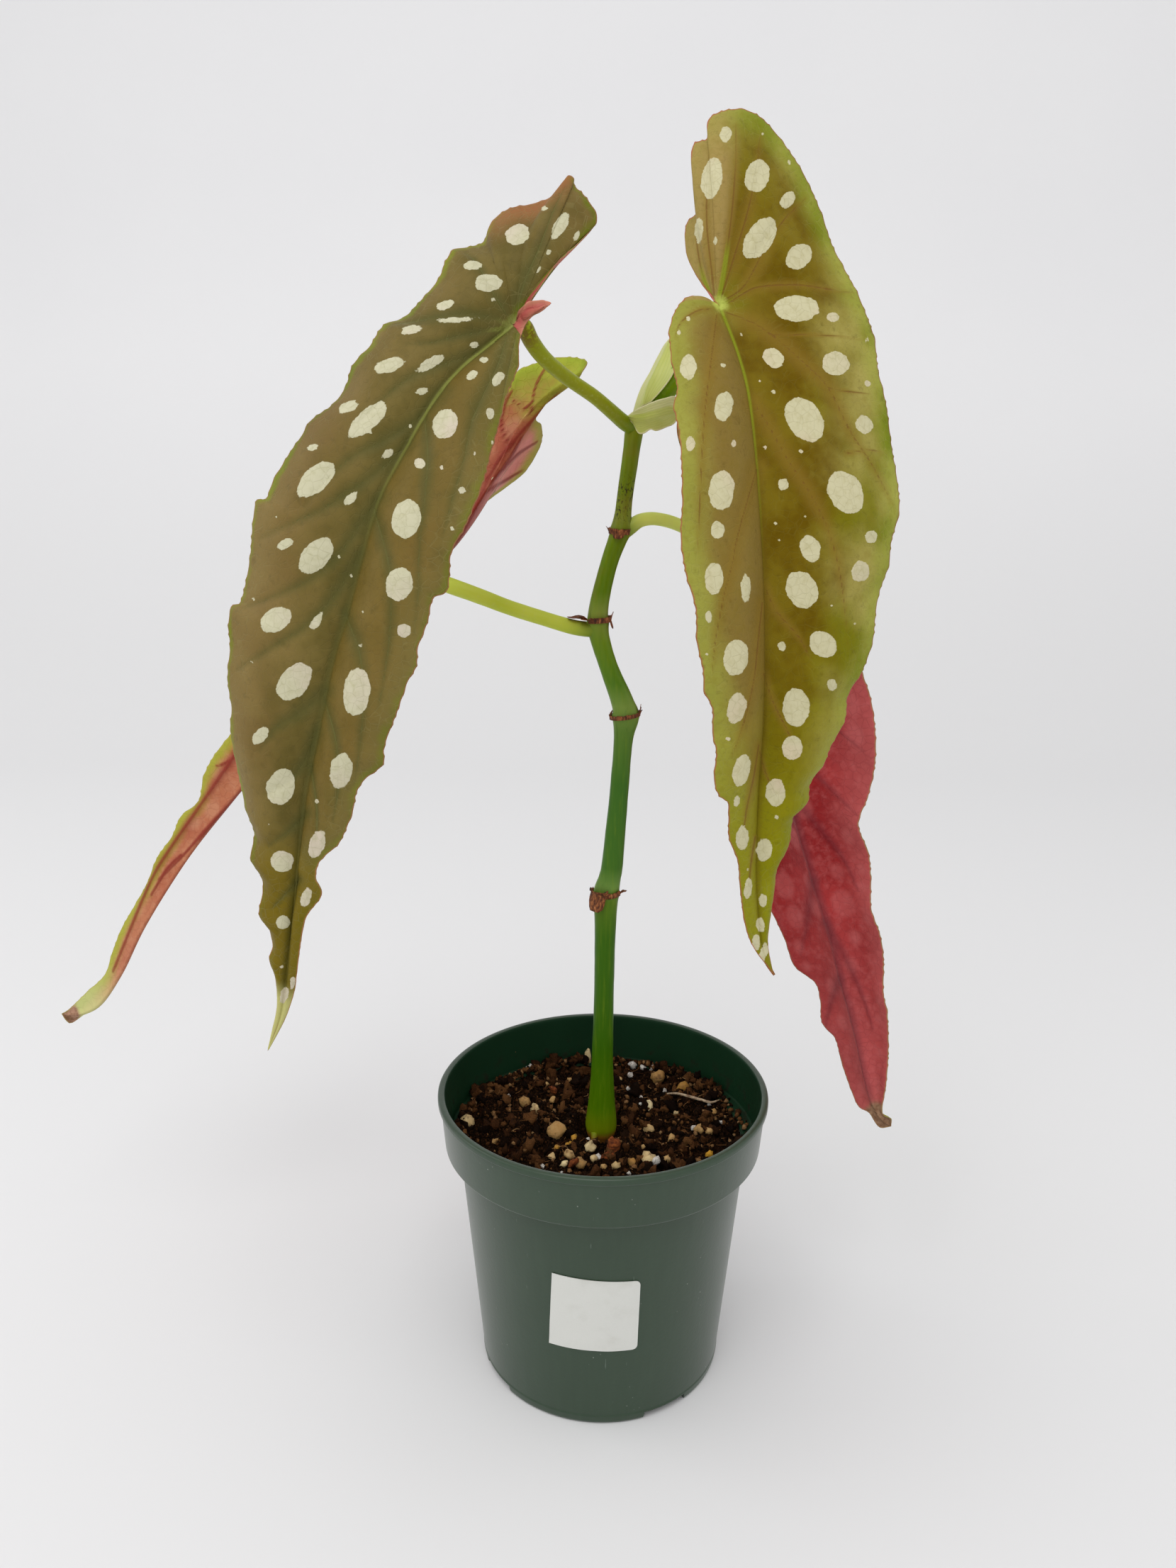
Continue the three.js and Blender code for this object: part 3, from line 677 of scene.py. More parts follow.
# Coir fibres, each a hair-thin curl that lies on the soil or stands a little out of it
fibre_count = 230
fibre_clearance = 8
fibre_limit = 49
fibre_radius = 0.15
fibre_end_radius = 0.1
fibre_lift = 0.25
chance = random.Random(5)
fibres = []
for _ in range(fibre_count):
    x, y = anywhere(chance, soil_radius + 1)
    heading = chance.uniform(0, 2 * math.pi)
    length = chance.uniform(2, 7)
    if math.hypot(x, y) > fibre_clearance:
        z = soil_height(x, y) + fibre_lift
        bend = chance.uniform(-1.2, 1.2)
        rise = chance.uniform(0.1, 0.8) if chance.random() < 0.85 else chance.uniform(1.2, 3)
        stations = []
        for k in range(4):
            t = k / 3 - 0.3
            turn = heading + bend * t
            radius = fibre_end_radius if k in (0, 3) else fibre_radius
            stations.append((
                x + length * t * math.cos(turn) * 0.8, y + length * t * math.sin(turn) * 0.8,
                z + rise * max(t, 0) ** 0.7, radius,
            ))
        if max(math.hypot(s[0], s[1]) for s in stations) < fibre_limit:
            fibres.append(tube(stations, 3, 4))
lay("coir_fibres", fibres, coir, [chance.uniform(0.35, 1) for _ in fibres])

# Perlite and gravel as they lie in the pot: x, y, size and how far it is sunk, in millimetres, and for
# gravel how pale it is
perlite_bits = [
    (-26.4, 40.5, 1.7, 0.2), (10.8, 44.3, 2.0, 0.0), (9.9, 36.9, 1.3, 0.2), (18.1, 43, 1.4, 0.2),
    (14.6, 42, 1.2, 0.1), (22.4, 41.5, 1.1, 0.1), (9, 26, 1.2, 0.3), (27.5, 38, 0.8, 0.1),
    (22, 27, 0.9, 0.2), (13.5, 22, 0.8, 0.2), (-1, -15.5, 1.0, 0.2), (30.4, 2.4, 1.1, 0.2),
    (-22.5, 3.5, 0.8, 0.1), (-18.6, -21.5, 0.8, 0.1), (16.9, -19.2, 1.7, -0.7), (-4.6, -7.2, 1.0, 0.1),
    (-23, -24, 0.9, 0.1), (37, 18, 0.7, 0.1), (40, 6, 0.8, 0.1), (-12.6, -24.6, 0.6, 0.1),
    (8.5, -24.5, 0.7, 0.0), (-33, 22, 0.7, 0.1), (-39, 24, 0.6, 0.1), (13, 12, 0.7, 0.2),
    (24, -22, 0.7, 0.1),
]
gravel_bits = [
    (15.6, 13.4, 2.3, 0.1, 0.96), (19.8, 35.1, 2.8, 0.2, 0.6), (28.4, 28.3, 2.5, 0.4, 0.5),
    (-26.9, 16.8, 2.2, 0.3, 0.62), (-23.1, 12.2, 2.0, 0.2, 0.8), (-45.4, 1.5, 2.9, 0.0, 0.78),
    (-15, -1.6, 3.2, 0.5, 0.62), (-10.3, -9.5, 1.5, 0.1, 0.38), (-9.2, -5.3, 1.3, 0.0, 0.4),
    (-14.6, -11, 1.2, 0.1, 0.42), (-4, -13.1, 2.2, 0.3, 0.84), (15.4, 1.1, 1.9, 0.1, 0.74),
    (14.8, -17.8, 3.0, 0.6, 0.8), (34.5, -13.6, 1.4, 0.1, 0.3), (32.2, 1.2, 2.0, 0.4, 0.66),
    (35.4, -0.6, 1.6, 0.3, 0.7), (-10.5, -17, 1.9, 0.3, 0.72), (-7.2, -19.8, 2.2, 0.4, 0.62),
    (-16, -16.4, 1.4, 0.2, 0.76), (22.6, -5.6, 1.8, 0.3, 0.66), (9.4, -19, 1.7, 0.4, 0.55),
    (20.6, -16.5, 1.6, 0.2, 0.7), (-17.6, 19.5, 1.3, 0.3, 0.66), (4.6, -21.5, 1.5, 0.2, 0.74),
    (-35, -8, 1.3, 0.3, 0.6), (38.2, 12.5, 1.2, 0.2, 0.6), (-12, -20.8, 1.3, 0.2, 0.88),
    (-30.6, 5.4, 1.1, 0.2, 0.7), (25, 12, 1.0, 0.1, 0.8), (6, 30, 1.2, 0.2, 0.7),
    (-12, 33, 1.2, 0.2, 0.66), (-20, 30.5, 1.0, 0.2, 0.72), (-2.6, -16.8, 1.3, 0.1, 0.8),
    (0.6, -22.4, 1.1, 0.1, 0.66), (13.2, -9.5, 0.9, 0.1, 0.7), (28, -6, 0.9, 0.1, 0.7),
]


def half_sunk(x, y, share, sunk):
    """A place on the soil, raised by its share of the size and sunk a little."""
    return (x, y, max(soil_height(x, y), soil_level) + share - sunk)


chance = random.Random(11)
bodies = [
    lump(pebble, half_sunk(x, y, size * 0.45, sunk), size, (1, 0.85, 0.8), 0.75, chance)
    for x, y, size, sunk in perlite_bits
]
perlite, perlite_place = finish("perlite", Roughness=0.85, Specular_IOR_Level=0.3)
pits = perlite_place.cells(2600)
worn = 0.6 * pits + 0.6 * perlite_place.grain(900, 3).step(0.45, 0.75)
worn.blend(rgb(240, 238, 230), rgb(168, 158, 142)).feed("Base Color")
pits.relief(0.9, 0.0004)
lay("perlite_bits", bodies, perlite)

bodies = [
    lump(pebble, half_sunk(x, y, size * 0.42, sunk), size, (1, 0.88, 0.75), 0.7, chance)
    for x, y, size, sunk, _ in gravel_bits
]
# A flat chip that stands upright at the back, behind the stem
chip_size = np.array((1.25, 0.6, 3.9))
chip_place = np.array((-5.7, 46.2, 82.4))
chip_tone = 0.86
rough = [[0.25 * noise.noise(Vector(p) * 3), 0, 0.5 * noise.noise(Vector(p) * 2)] for p in pebble[0]]
bodies.append((pebble[0] * chip_size + np.array(rough) + chip_place, pebble[1]))
gravel, gravel_place = finish("gravel", Roughness=0.75, Specular_IOR_Level=0.35)
shade = (gravel_place.painted("tone") + 0.24 * (gravel_place.grain(700, 3, 0.6) - 0.5)).ramp(
    (0.28, rgb(196, 146, 34)), (0.42, rgb(174, 126, 42)), (0.56, rgb(160, 118, 60)),
    (0.7, rgb(184, 150, 96)), (0.95, rgb(230, 214, 164)),
)
grime = gravel_place.grain(420, 4, 0.65).step(0.52, 0.7)
(grime * 0.7).blend(shade, rgb(70, 46, 28)).feed("Base Color")
gravel_place.grain(1600, 3).relief(0.7, 0.0003)
lay("gravel_bits", bodies, gravel, [bit[-1] for bit in gravel_bits] + [chip_tone])

# Chips of bark, the biggest in front of the stem: place, size, squash and unevenness
bark_bits = [
    ((3.6, -13.2, 82.2), 3.7, (1, 0.8, 0.62), 0.8), ((-9, -21.5, 81.4), 2.2, (1, 0.6, 0.5), 0.8),
    ((-17.5, 25, 80.9), 2.4, (1, 0.6, 0.5), 0.9), ((1.5, -17.5, 81.6), 2.2, (1, 0.6, 0.5), 0.9),
]
chance = random.Random(8)
bark, bark_place = finish("bark", Roughness=0.85, Specular_IOR_Level=0.2)
layers = bark_place.stretch(1, 1, 3).grain(420, 4, 0.65)
layers.ramp((0.35, rgb(62, 28, 12)), (0.52, rgb(112, 56, 22)), (0.7, rgb(158, 88, 40))).feed("Base Color")
layers.relief(0.9, 0.0006)
lay("bark_chips", [lump(pebble, *bit, chance) for bit in bark_bits], bark)

# A pale split twig that lies curved on the right: x, y, z and radius
twig_stations = [
    (22.5, 21.5, 82.0, 0.25), (26, 20.3, 82.8, 0.4), (30, 18.6, 82.7, 0.5), (34, 17.4, 82.2, 0.5),
    (37.5, 16.6, 81.7, 0.45), (40.5, 18.2, 81.8, 0.2),
]
straw, straw_place = finish("straw", Roughness=0.6, Specular_IOR_Level=0.4)
straw_place.grain(900, 3).ramp((0.35, rgb(120, 92, 66)), (0.65, rgb(196, 176, 146))).feed("Base Color")
straw_place.grain(1800, 3).relief(0.5, 0.0002)
lay("split_twig", [tube(twig_stations, 6, 8)], straw)

# Cane: one fleshy green stem that turns at each swollen node and flares where it was struck as a
# cutting. Its skin is smooth and satin, streaked lengthwise, and brown-speckled above the fourth node.
# Stations up the cane: x, y, z and radius
cane_stations = [
    (-0.4, 0, 60, 3.6), (-0.4, 0, 76, 4.0), (-0.4, 0, 80.5, 4.9), (-0.4, 0, 84, 5.1), (-0.3, 0, 93, 4.2),
    (-0.2, 0, 110, 3.4), (0.1, 0, 137, 3.2), (0.2, 0, 156, 3.5), (0.3, 0, 163.4, 4.1), (1.4, 0, 169, 3.5),
    (2.2, 0, 174, 3.3), (3.9, 0, 196, 2.9), (5, 0, 213, 2.9), (5.6, 0, 220.5, 4.1), (4.6, 0, 225, 3.4),
    (0.6, 0, 235, 2.8), (-2.2, 0, 243.5, 2.9), (-3, 0, 248.5, 3.2), (-2.6, 0, 255, 2.8), (0, 0, 266, 2.5),
    (2.2, 0, 272.5, 2.7), (3.6, 0, 276.5, 3.1), (4, 0, 281, 2.4), (4.9, 0, 289, 2.3), (6.1, 0, 298, 2.4),
    (6.8, 0, 303.5, 2.6), (7, 0, 306, 2.0),
]
cane_foot = 76
cane_top = 306
node_heights = (163.4, 220.8, 248.8, 276.2)
# Skin colour up the cane: height in millimetres and colour
cane_colours = [
    (76, rgb(120, 74, 34)), (80.4, rgb(128, 84, 26)), (82, rgb(112, 128, 6)), (90, rgb(76, 114, 0)),
    (112, rgb(54, 96, 0)), (150, rgb(54, 96, 4)), (162, rgb(84, 114, 22)), (167, rgb(100, 134, 58)),
    (173, rgb(62, 104, 28)), (200, rgb(60, 104, 30)), (216, rgb(84, 118, 40)), (224, rgb(112, 140, 60)),
    (231, rgb(78, 118, 26)), (243, rgb(98, 130, 24)), (252, rgb(122, 142, 56)), (258, rgb(86, 118, 8)),
    (272, rgb(94, 120, 8)), (279, rgb(112, 124, 36)), (286, rgb(98, 116, 14)), (300, rgb(104, 126, 14)),
    (306, rgb(130, 140, 24)),
]
cane_sides = 40
cane_length = cane_top - cane_foot
node_ridge = 0.16
node_ridge_width = 0.8
points, faces = tube(cane_stations, 14, cane_sides)
for start in range(0, len(points), cane_sides):
    middle = points[start:start + cane_sides].mean(0)
    for point in points[start:start + cane_sides]:
        swell = 0.10 * noise.noise(Vector(point) / 9) + 0.04 * noise.noise(Vector(point) / 2.5)
        for height in node_heights:
            swell += node_ridge * math.exp(-(((point[2] - height) / node_ridge_width) ** 2))
        out = point - middle
        point += out / np.linalg.norm(out) * swell
skin, skin_place = finish("cane_skin", Specular_IOR_Level=0.12)
up_cane = skin_place.part(2) * 1000
stops = [((height - cane_foot) / cane_length, colour) for height, colour in cane_colours]
body = ((up_cane - cane_foot) * (1 / cane_length)).ramp(*stops)
streaks = skin_place.stretch(1, 1, 0.06).grain(1100, 3, 0.6)
body = (streaks.step(0.5, 0.8) * 0.3).blend(body, rgb(124, 146, 30))
body = ((1 - streaks).step(0.52, 0.85) * 0.4).blend(body, rgb(38, 74, 0))
speck_zone = up_cane.step(277, 280) * (1 - up_cane.step(286, 294))
specks = skin_place.stretch(1, 1, 0.6).grain(1500, 4, 0.65).step(0.53, 0.62) * speck_zone
body = (specks * 0.95).blend(body, rgb(40, 28, 18))
blush = skin_place.grain(160, 3).step(0.5, 0.72) * up_cane.step(240, 262) * 0.25
blush.blend(body, rgb(126, 104, 44)).feed("Base Color")
(0.32 + 0.14 * streaks).feed("Roughness")
(streaks + 0.4 * skin_place.grain(2400, 2)).relief(0.25, 0.00012)
cane = make_piece("green_cane", points, faces, skin)
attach(cane, "root")
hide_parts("cane")

# The stub of an old root, pale green, under the flare at the front
stub_stations = [
    (-2.6, -4.2, 81.6, 1.2), (-2.7, -5.3, 80.6, 1.0), (-2.8, -6.2, 79.8, 0.8), (-2.9, -7.0, 79.2, 0.5),
]
stub = make_piece("root_stub", *tube(stub_stations, 5, 12), skin)
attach(stub, "root")

# Dry collars: what is left round each node of the papery scales that wrapped the young leaves.
# They are brown, brittle and torn, with a few flakes that curl away.
# Each collar: its turn from start to end in degrees, and flakes by turn, width, rise (negative hangs)
# and how far they stand out
collars = [
    {
        "node": "dry_collar_1", "centre": (0.3, 0, 164), "radius": 4.2, "start": -130, "end": 75,
        "height": 1.5, "lean": 0.05,
        "flakes": [(-40, 6.0, -4.6, 1.3), (-30, 5.6, 2.2, 1.8), (84, 1.8, 1.0, 1.8)],
    },
    {
        "node": "dry_collar_2", "centre": (5.4, 0, 221), "radius": 4.2, "start": -150, "end": 150,
        "height": 0.9, "lean": 0.14,
        "flakes": [(-88, 1.2, 2.0, -1.6), (82, 1.3, 3.6, 0.2), (70, 0.8, 2.8, 0.4), (98, 1.0, 1.6, 0.6)],
    },
    {
        "node": "dry_collar_3", "centre": (-2.9, 0, 249.6), "radius": 3.4, "start": -50, "end": 230,
        "height": 1.3, "lean": 0.05,
        "flakes": [(-80, 3.0, 1.0, 5.4), (84, 1.4, 2.6, 0.6), (70, 1.2, -2.2, 0.8), (-45, 2.4, 0.6, 2.8)],
    },
    {
        "node": "dry_collar_4", "centre": (3.4, 0, 275.2), "radius": 3.1, "start": -160, "end": 45,
        "height": 1.2, "lean": -0.05,
        "flakes": [(-12, 3.4, -1.8, 0.3), (-88, 1.2, 1.6, 0.7), (30, 2.0, 1.0, 0.5)],
    },
]
scale, scale_place = finish("dry_scale", Specular_IOR_Level=0.3)
paperiness = scale_place.stretch(1, 1, 0.35).grain(1500, 4, 0.65)
paperiness.ramp(
    (0.3, rgb(36, 18, 8)), (0.48, rgb(100, 54, 24)), (0.64, rgb(158, 98, 54)), (0.8, rgb(204, 164, 120)),
).feed("Base Color")
(0.6 + 0.25 * paperiness).feed("Roughness")
paperiness.relief(0.8, 0.0003)
collar_steps = 120
collar_gap = 0.12
flake_rows = 6
flake_columns = 4
flake_thickness = 0.14
flake_gap = 0.35
for number, collar in enumerate(collars):
    centre = np.array(collar["centre"])
    inside = collar["radius"] + collar_gap
    points = []
    for i in range(collar_steps + 1):
        turn = collar["start"] + (collar["end"] - collar["start"]) * i / collar_steps
        fade = min(1, i / 5, (collar_steps - i) / 5)
        wave = 0.5 + 0.5 * noise.noise(Vector((turn / 16, number * 5.0, 0)))
        tear = 0.35 * noise.noise(Vector((turn / 3.2, number * 5.0, 4)))
        top = collar["height"] * (0.45 + 0.7 * wave + tear) * (0.3 + 0.7 * fade)
        curl = 0.15 + 0.45 * wave
        profile = (
            (inside, -0.5), (inside, top * 0.5), (inside + curl, top), (inside + curl + 0.16, top - 0.05),
            (inside + 0.4, top * 0.4), (inside + 0.34, -0.6),
        )
        for reach, rise in profile:
            place = np.array(around(turn, reach, rise)) + centre
            place[2] += collar["lean"] * (place[0] - centre[0])
            points.append(place)
    ring = len(profile)
    faces = [
        (i * ring + j, (i + 1) * ring + j, (i + 1) * ring + (j + 1) % ring, i * ring + (j + 1) % ring)
        for i in range(collar_steps)
        for j in range(ring)
    ]
    faces += [list(range(ring)), [collar_steps * ring + j for j in range(ring)][::-1]]
    bodies = [(np.array(points), faces)]
    for turn, width, rise, out in collar["flakes"]:
        flake = []
        for lift in (0, flake_thickness):
            for i in range(flake_rows + 1):
                t = i / flake_rows
                for j in range(flake_columns + 1):
                    side = j / flake_columns - 0.5
                    spread = side * width * (1 - (0.95 * t) ** 3) ** 0.5
                    reach = collar["radius"] + flake_gap + out * t ** 1.3 + lift
                    wave = 0.25 * noise.noise(Vector((i * 0.7, j * 0.9, number + turn)))
                    angle = turn + math.degrees(spread / collar["radius"])
                    cup = 0.3 * width * (2 * side) ** 2 * math.sin(math.pi * min(1, t + 0.15))
                    flake.append(np.array(around(angle, reach + wave * t, rise * t + wave + cup)) + centre)
        bodies.append((np.array(flake), sheet_faces(flake_rows, flake_columns)))
    points, faces, _ = gather(bodies)
    piece = make_piece("torn_" + collar["node"], points, faces, scale)
    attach(piece, "root")
    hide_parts(collar["node"])

# Petioles: juicy pale green leaf stalks, round and smooth, each joined to its node by a slight
# swelling and to its blade at an off-centre point.
# Stations along each: x, y, z and radius
petiole_stations = {
    "a": [
        (6.5, 0, 304.5, 2.3), (4, -3, 305.5, 2.1), (-4, -13, 311.5, 1.9), (-11.5, -21, 316, 1.9),
        (-17, -29, 320, 2), (-20, -34, 323.5, 2.1), (-21.5, -37, 326.5, 2.1), (-22.5, -38, 327.5, 1.9),
    ],
    "b": [
        (8, 0, 305, 2.3), (10.5, -4, 308.2, 2.4), (15, -13, 313.2, 2.6), (20, -25, 320.4, 2.6),
        (24, -34, 328.5, 2), (26, -38, 331.5, 1.8),
    ],
    "c": [
        (-2, 0, 247, 2.4), (-6.5, -0.5, 247, 2.3), (-12, -1, 248, 2.2), (-20.5, -1, 250.5, 2.15),
        (-29, 0, 253, 2.2), (-37.5, 1, 256, 2.3), (-44, 3, 258, 2.4), (-49.5, 6, 259.5, 2.4),
        (-53, 7.5, 260.5, 2),
    ],
    "d": [
        (3.5, 0, 274.5, 2.1), (6, 0, 276.5, 2.1), (9, 1, 278.5, 2), (13, 3, 279, 1.9), (18, 6, 278, 1.9),
        (24, 10, 275.5, 1.9), (30.5, 15, 271.5, 1.9), (36, 19, 266.5, 1.8), (39.5, 22, 264, 1.7),
    ],
}
petiole_colours = {
    "a": (rgb(134, 146, 12), rgb(154, 164, 34)), "b": (rgb(112, 156, 0), rgb(132, 170, 14)),
    "c": (rgb(170, 190, 44), rgb(198, 210, 84)), "d": (rgb(184, 204, 74), rgb(214, 224, 120)),
}
freckle_strengths = {"a": 0.65, "b": 0.0, "c": 0.0, "d": 0.0}
stalk_sides = 24
stalk_unevenness = 0.05
for key, stations in petiole_stations.items():
    stalk, stalk_place = finish("petiole_skin_" + key, Specular_IOR_Level=0.15)
    streaks = stalk_place.grain(900, 3, 0.6)
    body = stalk_place.grain(90, 2).blend(*petiole_colours[key])
    body = (streaks.step(0.5, 0.8) * 0.3).blend(body, rgb(184, 192, 110))
    along = stalk_place.painted("along")
    body = ((1 - along.step(0.06, 0.3)) * 0.85).blend(body, rgb(92, 122, 18))
    freckles = stalk_place.grain(900, 4, 0.65).step(0.42, 0.52) * along.step(0.64, 0.82)
    (freckles * freckle_strengths[key]).blend(body, rgb(104, 58, 22)).feed("Base Color")
    (0.34 + 0.12 * streaks).feed("Roughness")
    streaks.relief(0.2, 0.0001)
    points, faces = tube(stations, 10, stalk_sides)
    uneven = [[noise.noise(Vector(p) / 3), 0, noise.noise(Vector(p) / 3.4)] for p in points]
    along_stalk = np.repeat(np.linspace(0, 1, len(points) // stalk_sides), stalk_sides)
    petiole = make_piece(
        "leaf_stalk_" + key, points + stalk_unevenness * np.array(uneven), faces, stalk,
        values={"along": along_stalk},
    )
    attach(petiole, "root")
    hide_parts("petiole_" + key)

# Stipules: two thin pale scales, boat-shaped and papery at the edge, that wrapped the bud at the tip
# of the cane. Like the leaves, each is a blade of two halves on a midrib.
def even_line(line, count):
    """The same line as count + 1 points at even distances."""
    along = np.concatenate([[0], np.cumsum(np.linalg.norm(np.diff(line, axis=0), axis=1))])
    wanted = np.linspace(0, along[-1], count + 1)
    return np.stack([np.interp(wanted, along, line[:, axis]) for axis in range(3)], 1)


def nearest(points, targets):
    """Distance from each point to the closest of the targets."""
    tree = kdtree.KDTree(len(targets))
    for i, target in enumerate(targets):
        tree.insert(target, i)
    tree.balance()
    return np.array([tree.find(point)[2] for point in points])


def evened(numbers, reach):
    """Each number as the mean of that many on either side of it."""
    return np.convolve(np.pad(numbers, reach, "edge"), np.ones(2 * reach + 1) / (2 * reach + 1), "valid")


def blade_half(half, outline, midrib, lobe_steps, cells, plan, veins_at):
    """One half of a blade, 1 for the broad one and -1 for the slim one, as ribs of points.

    Each rib runs from the midrib to the margin. The first ones fan out from the stalk into the lobe.
    The second answer is where along the blade each rib is: -1 to 0 in the lobe, then 0 to 1 at the tip.
    """
    neighbours = 7
    full_span = 20
    name = "broad" if half == 1 else "slim"
    ribs = len(midrib) - 1
    lobe = smooth_line(outline[name + "_lobe"], lobe_steps)[:-1]
    margin = np.vstack([lobe, even_line(smooth_line(outline[name + "_side"], 12), ribs)])
    inner = np.vstack([np.repeat(midrib[:1], len(lobe), 0), midrib])
    span = margin - inner
    length = np.linalg.norm(span, axis=1)
    fullness = np.minimum(1, length / full_span)
    here = np.arange(len(margin))

    def course(reach):
        """Where the margin is heading at each of its points."""
        return margin[np.minimum(here + reach, here[-1])] - margin[np.maximum(here - reach, 0)]

    # Where the margin runs straight out from the stalk, up is what it is beside it
    up = np.cross(course(neighbours), span)
    up = up + 0.5 * np.stack([evened(axis, 5 * neighbours) for axis in up.T], 1)
    up /= np.maximum(np.linalg.norm(up, axis=1), 1e-6)[:, None]
    # There the half has no room to bulge either
    heading = course(3 * neighbours)
    room = np.linalg.norm(np.cross(heading, span), axis=1)
    room = room / np.maximum(np.linalg.norm(heading, axis=1) * length, 1e-6)
    lift = plan["bulge"] * half * fullness * evened(np.minimum(1, 1.6 * room ** 2), 3 * neighbours)
    v = np.linspace(0, 1, cells + 1)
    grid = inner[:, None] + span[:, None] * v[None, :, None]
    grid = grid + (up * lift[:, None])[:, None] * np.sin(math.pi * v)[None, :, None]
    if half == 1 and "sway" in plan:
        sway = smooth_line([(s, 0, 0) for s in plan["sway"]], lobe_steps)[:-1, 0]
        grid[:len(lobe), :, 0] -= sway[:, None] * np.sin(math.pi * v[None, :] ** 3)
    # Small teeth along the margin, unevenly spaced
    walked = np.cumsum(np.linalg.norm(np.diff(margin, axis=0, prepend=margin[:1]), axis=1))
    beat = walked / plan["tooth_step"]
    teeth = (0.5 + 0.5 * np.sin(2 * math.pi * beat + 2.2 * np.sin(beat * 1.7))) ** 3
    outward = span / np.maximum(length, 1)[:, None]
    teeth = outward * (plan["teeth"] * teeth * np.minimum(1, length / 12))[:, None]
    grid = grid + teeth[:, None] * (v ** 12)[None, :, None]
    # Pillows between the main veins, ripples near the margin and a groove along each vein
    t = np.concatenate([np.linspace(-1, 0, len(lobe), endpoint=False), np.linspace(0, 1, ribs + 1)])
    seam = veins_at(grid.reshape(-1, 3))[0].reshape(grid.shape[:2])
    pillow = (1 - np.exp(-((seam / 2.6) ** 2))) * np.sin(math.pi * np.minimum(v, 0.93) / 0.93)[None, :]
    waves = np.sin(plan["waves"] * 2 * math.pi * (t[:, None] - 0.12 * v[None, :]) + 1.3 * half)
    ripple = waves * v[None, :] ** 4 * fullness[:, None]
    ridge = np.exp(-((v[None, :] * length[:, None]) / 1.1) ** 2) + 0.5 * np.exp(-((seam / 0.8) ** 2))
    relief = -plan["upper"] * (plan["pillow"] * pillow + plan["ripple"] * ripple - plan["groove"] * ridge)
    return grid + up[:, None] * half * relief[:, :, None], t


def blade(outline, thickness, fineness, plan, veins_at):
    """A leaf blade: two halves that share the midrib, as a thin body with an upper and an under side.

    The fineness is the ribs along the midrib, the steps between two points of a lobe, and the cells
    along a rib. The plan gives the bulge of each half, the depth of the pillows between the main
    veins, of the groove along each, and of the ripples and teeth at the margin. veins_at tells how far
    points are from the main veins.
    """
    ribs, lobe_steps, cells = fineness
    midrib = even_line(smooth_line(outline["midrib"], 12), ribs)
    points = [midrib]
    across = [np.zeros(ribs + 1)]
    along = [np.linspace(0, 1, ribs + 1)]
    quads = []
    for half in (1, -1):
        grid, t = blade_half(half, outline, midrib, lobe_steps, cells, plan, veins_at)
        last = len(grid) - 1
        ids = np.empty((last + 1, cells + 1), int)
        ids[:last - ribs, 0] = 0
        ids[last - ribs:, 0] = np.arange(ribs + 1)
        ids[:-1, 1:] = sum(len(p) for p in points) + np.arange(last * cells).reshape(last, cells)
        ids[-1] = ribs
        points.append(grid[:-1, 1:].reshape(-1, 3))
        across.append(half * np.tile(np.linspace(0, 1, cells + 1)[1:], last))
        along.append(np.repeat(t[:-1], cells))
        corners = [ids[:-1, :-1], ids[1:, :-1], ids[1:, 1:], ids[:-1, 1:]]
        if half == 1:
            corners = corners[::-1]
        quads.append(np.stack(corners, 2).reshape(-1, 4))
    points = np.vstack(points)
    across = np.concatenate(across)
    along = np.concatenate(along)
    quads = np.vstack(quads)
    normals = np.zeros((len(points), 3))
    a, b, c, d = [points[quads[:, corner]] for corner in range(4)]
    for corner in range(4):
        np.add.at(normals, quads[:, corner], np.cross(c - a, d - b))
    normals /= np.maximum(np.linalg.norm(normals, axis=1), 1e-9)[:, None]
    # A quad with two corners in one place is a triangle, and the edges of one face only are the margin
    faces = []
    edges = {}
    for quad in quads.tolist():
        face = [k for i, k in enumerate(quad) if k != quad[i - 1]]
        if len(face) > 2:
            faces.append(face)
            for a, b in zip(face, face[1:] + face[:1]):
                if (b, a) in edges:
                    del edges[b, a]
                else:
                    edges[a, b] = True
    edge = nearest(points, points[sorted({a for a, _ in edges})])
    # The blade thins towards its margin
    skin = normals * (thickness / 2 * (0.45 + 0.55 * np.minimum(1, edge / 1.5)))[:, None]
    count = len(points)
    all_faces = faces + [[k + count for k in face[::-1]] for face in faces]
    all_faces += [[b, a, a + count, b + count] for a, b in edges]
    upper = 0 if plan["upper"] > 0 else 1
    finish_of_face = [upper] * len(faces) + [1 - upper] * len(faces) + [2] * len(edges)
    # Where a lobe folds over, its red side faces the viewer whichever way the blade is wound
    folded_half, fold_end = plan["folded"]
    for i, face in enumerate(faces):
        if max(along[face]) < fold_end and folded_half * np.mean(across[face]) > 0:
            faces_viewer = np.mean(normals[face, 1]) < 0
            finish_of_face[i] = 1 if faces_viewer else 0
            finish_of_face[i + len(faces)] = 0 if faces_viewer else 1
    seam, band, bright = veins_at(points)
    values = {
        "seam": seam, "band": band, "bright": bright, "edge": edge, "across": across, "along": along,
        "rib": nearest(points, midrib), "stalk": np.linalg.norm(points - midrib[0], axis=1),
    }
    both_sides = {name: np.tile(numbers, 2) for name, numbers in values.items()}
    return np.vstack([points + skin, points - skin]), all_faces, finish_of_face, both_sides


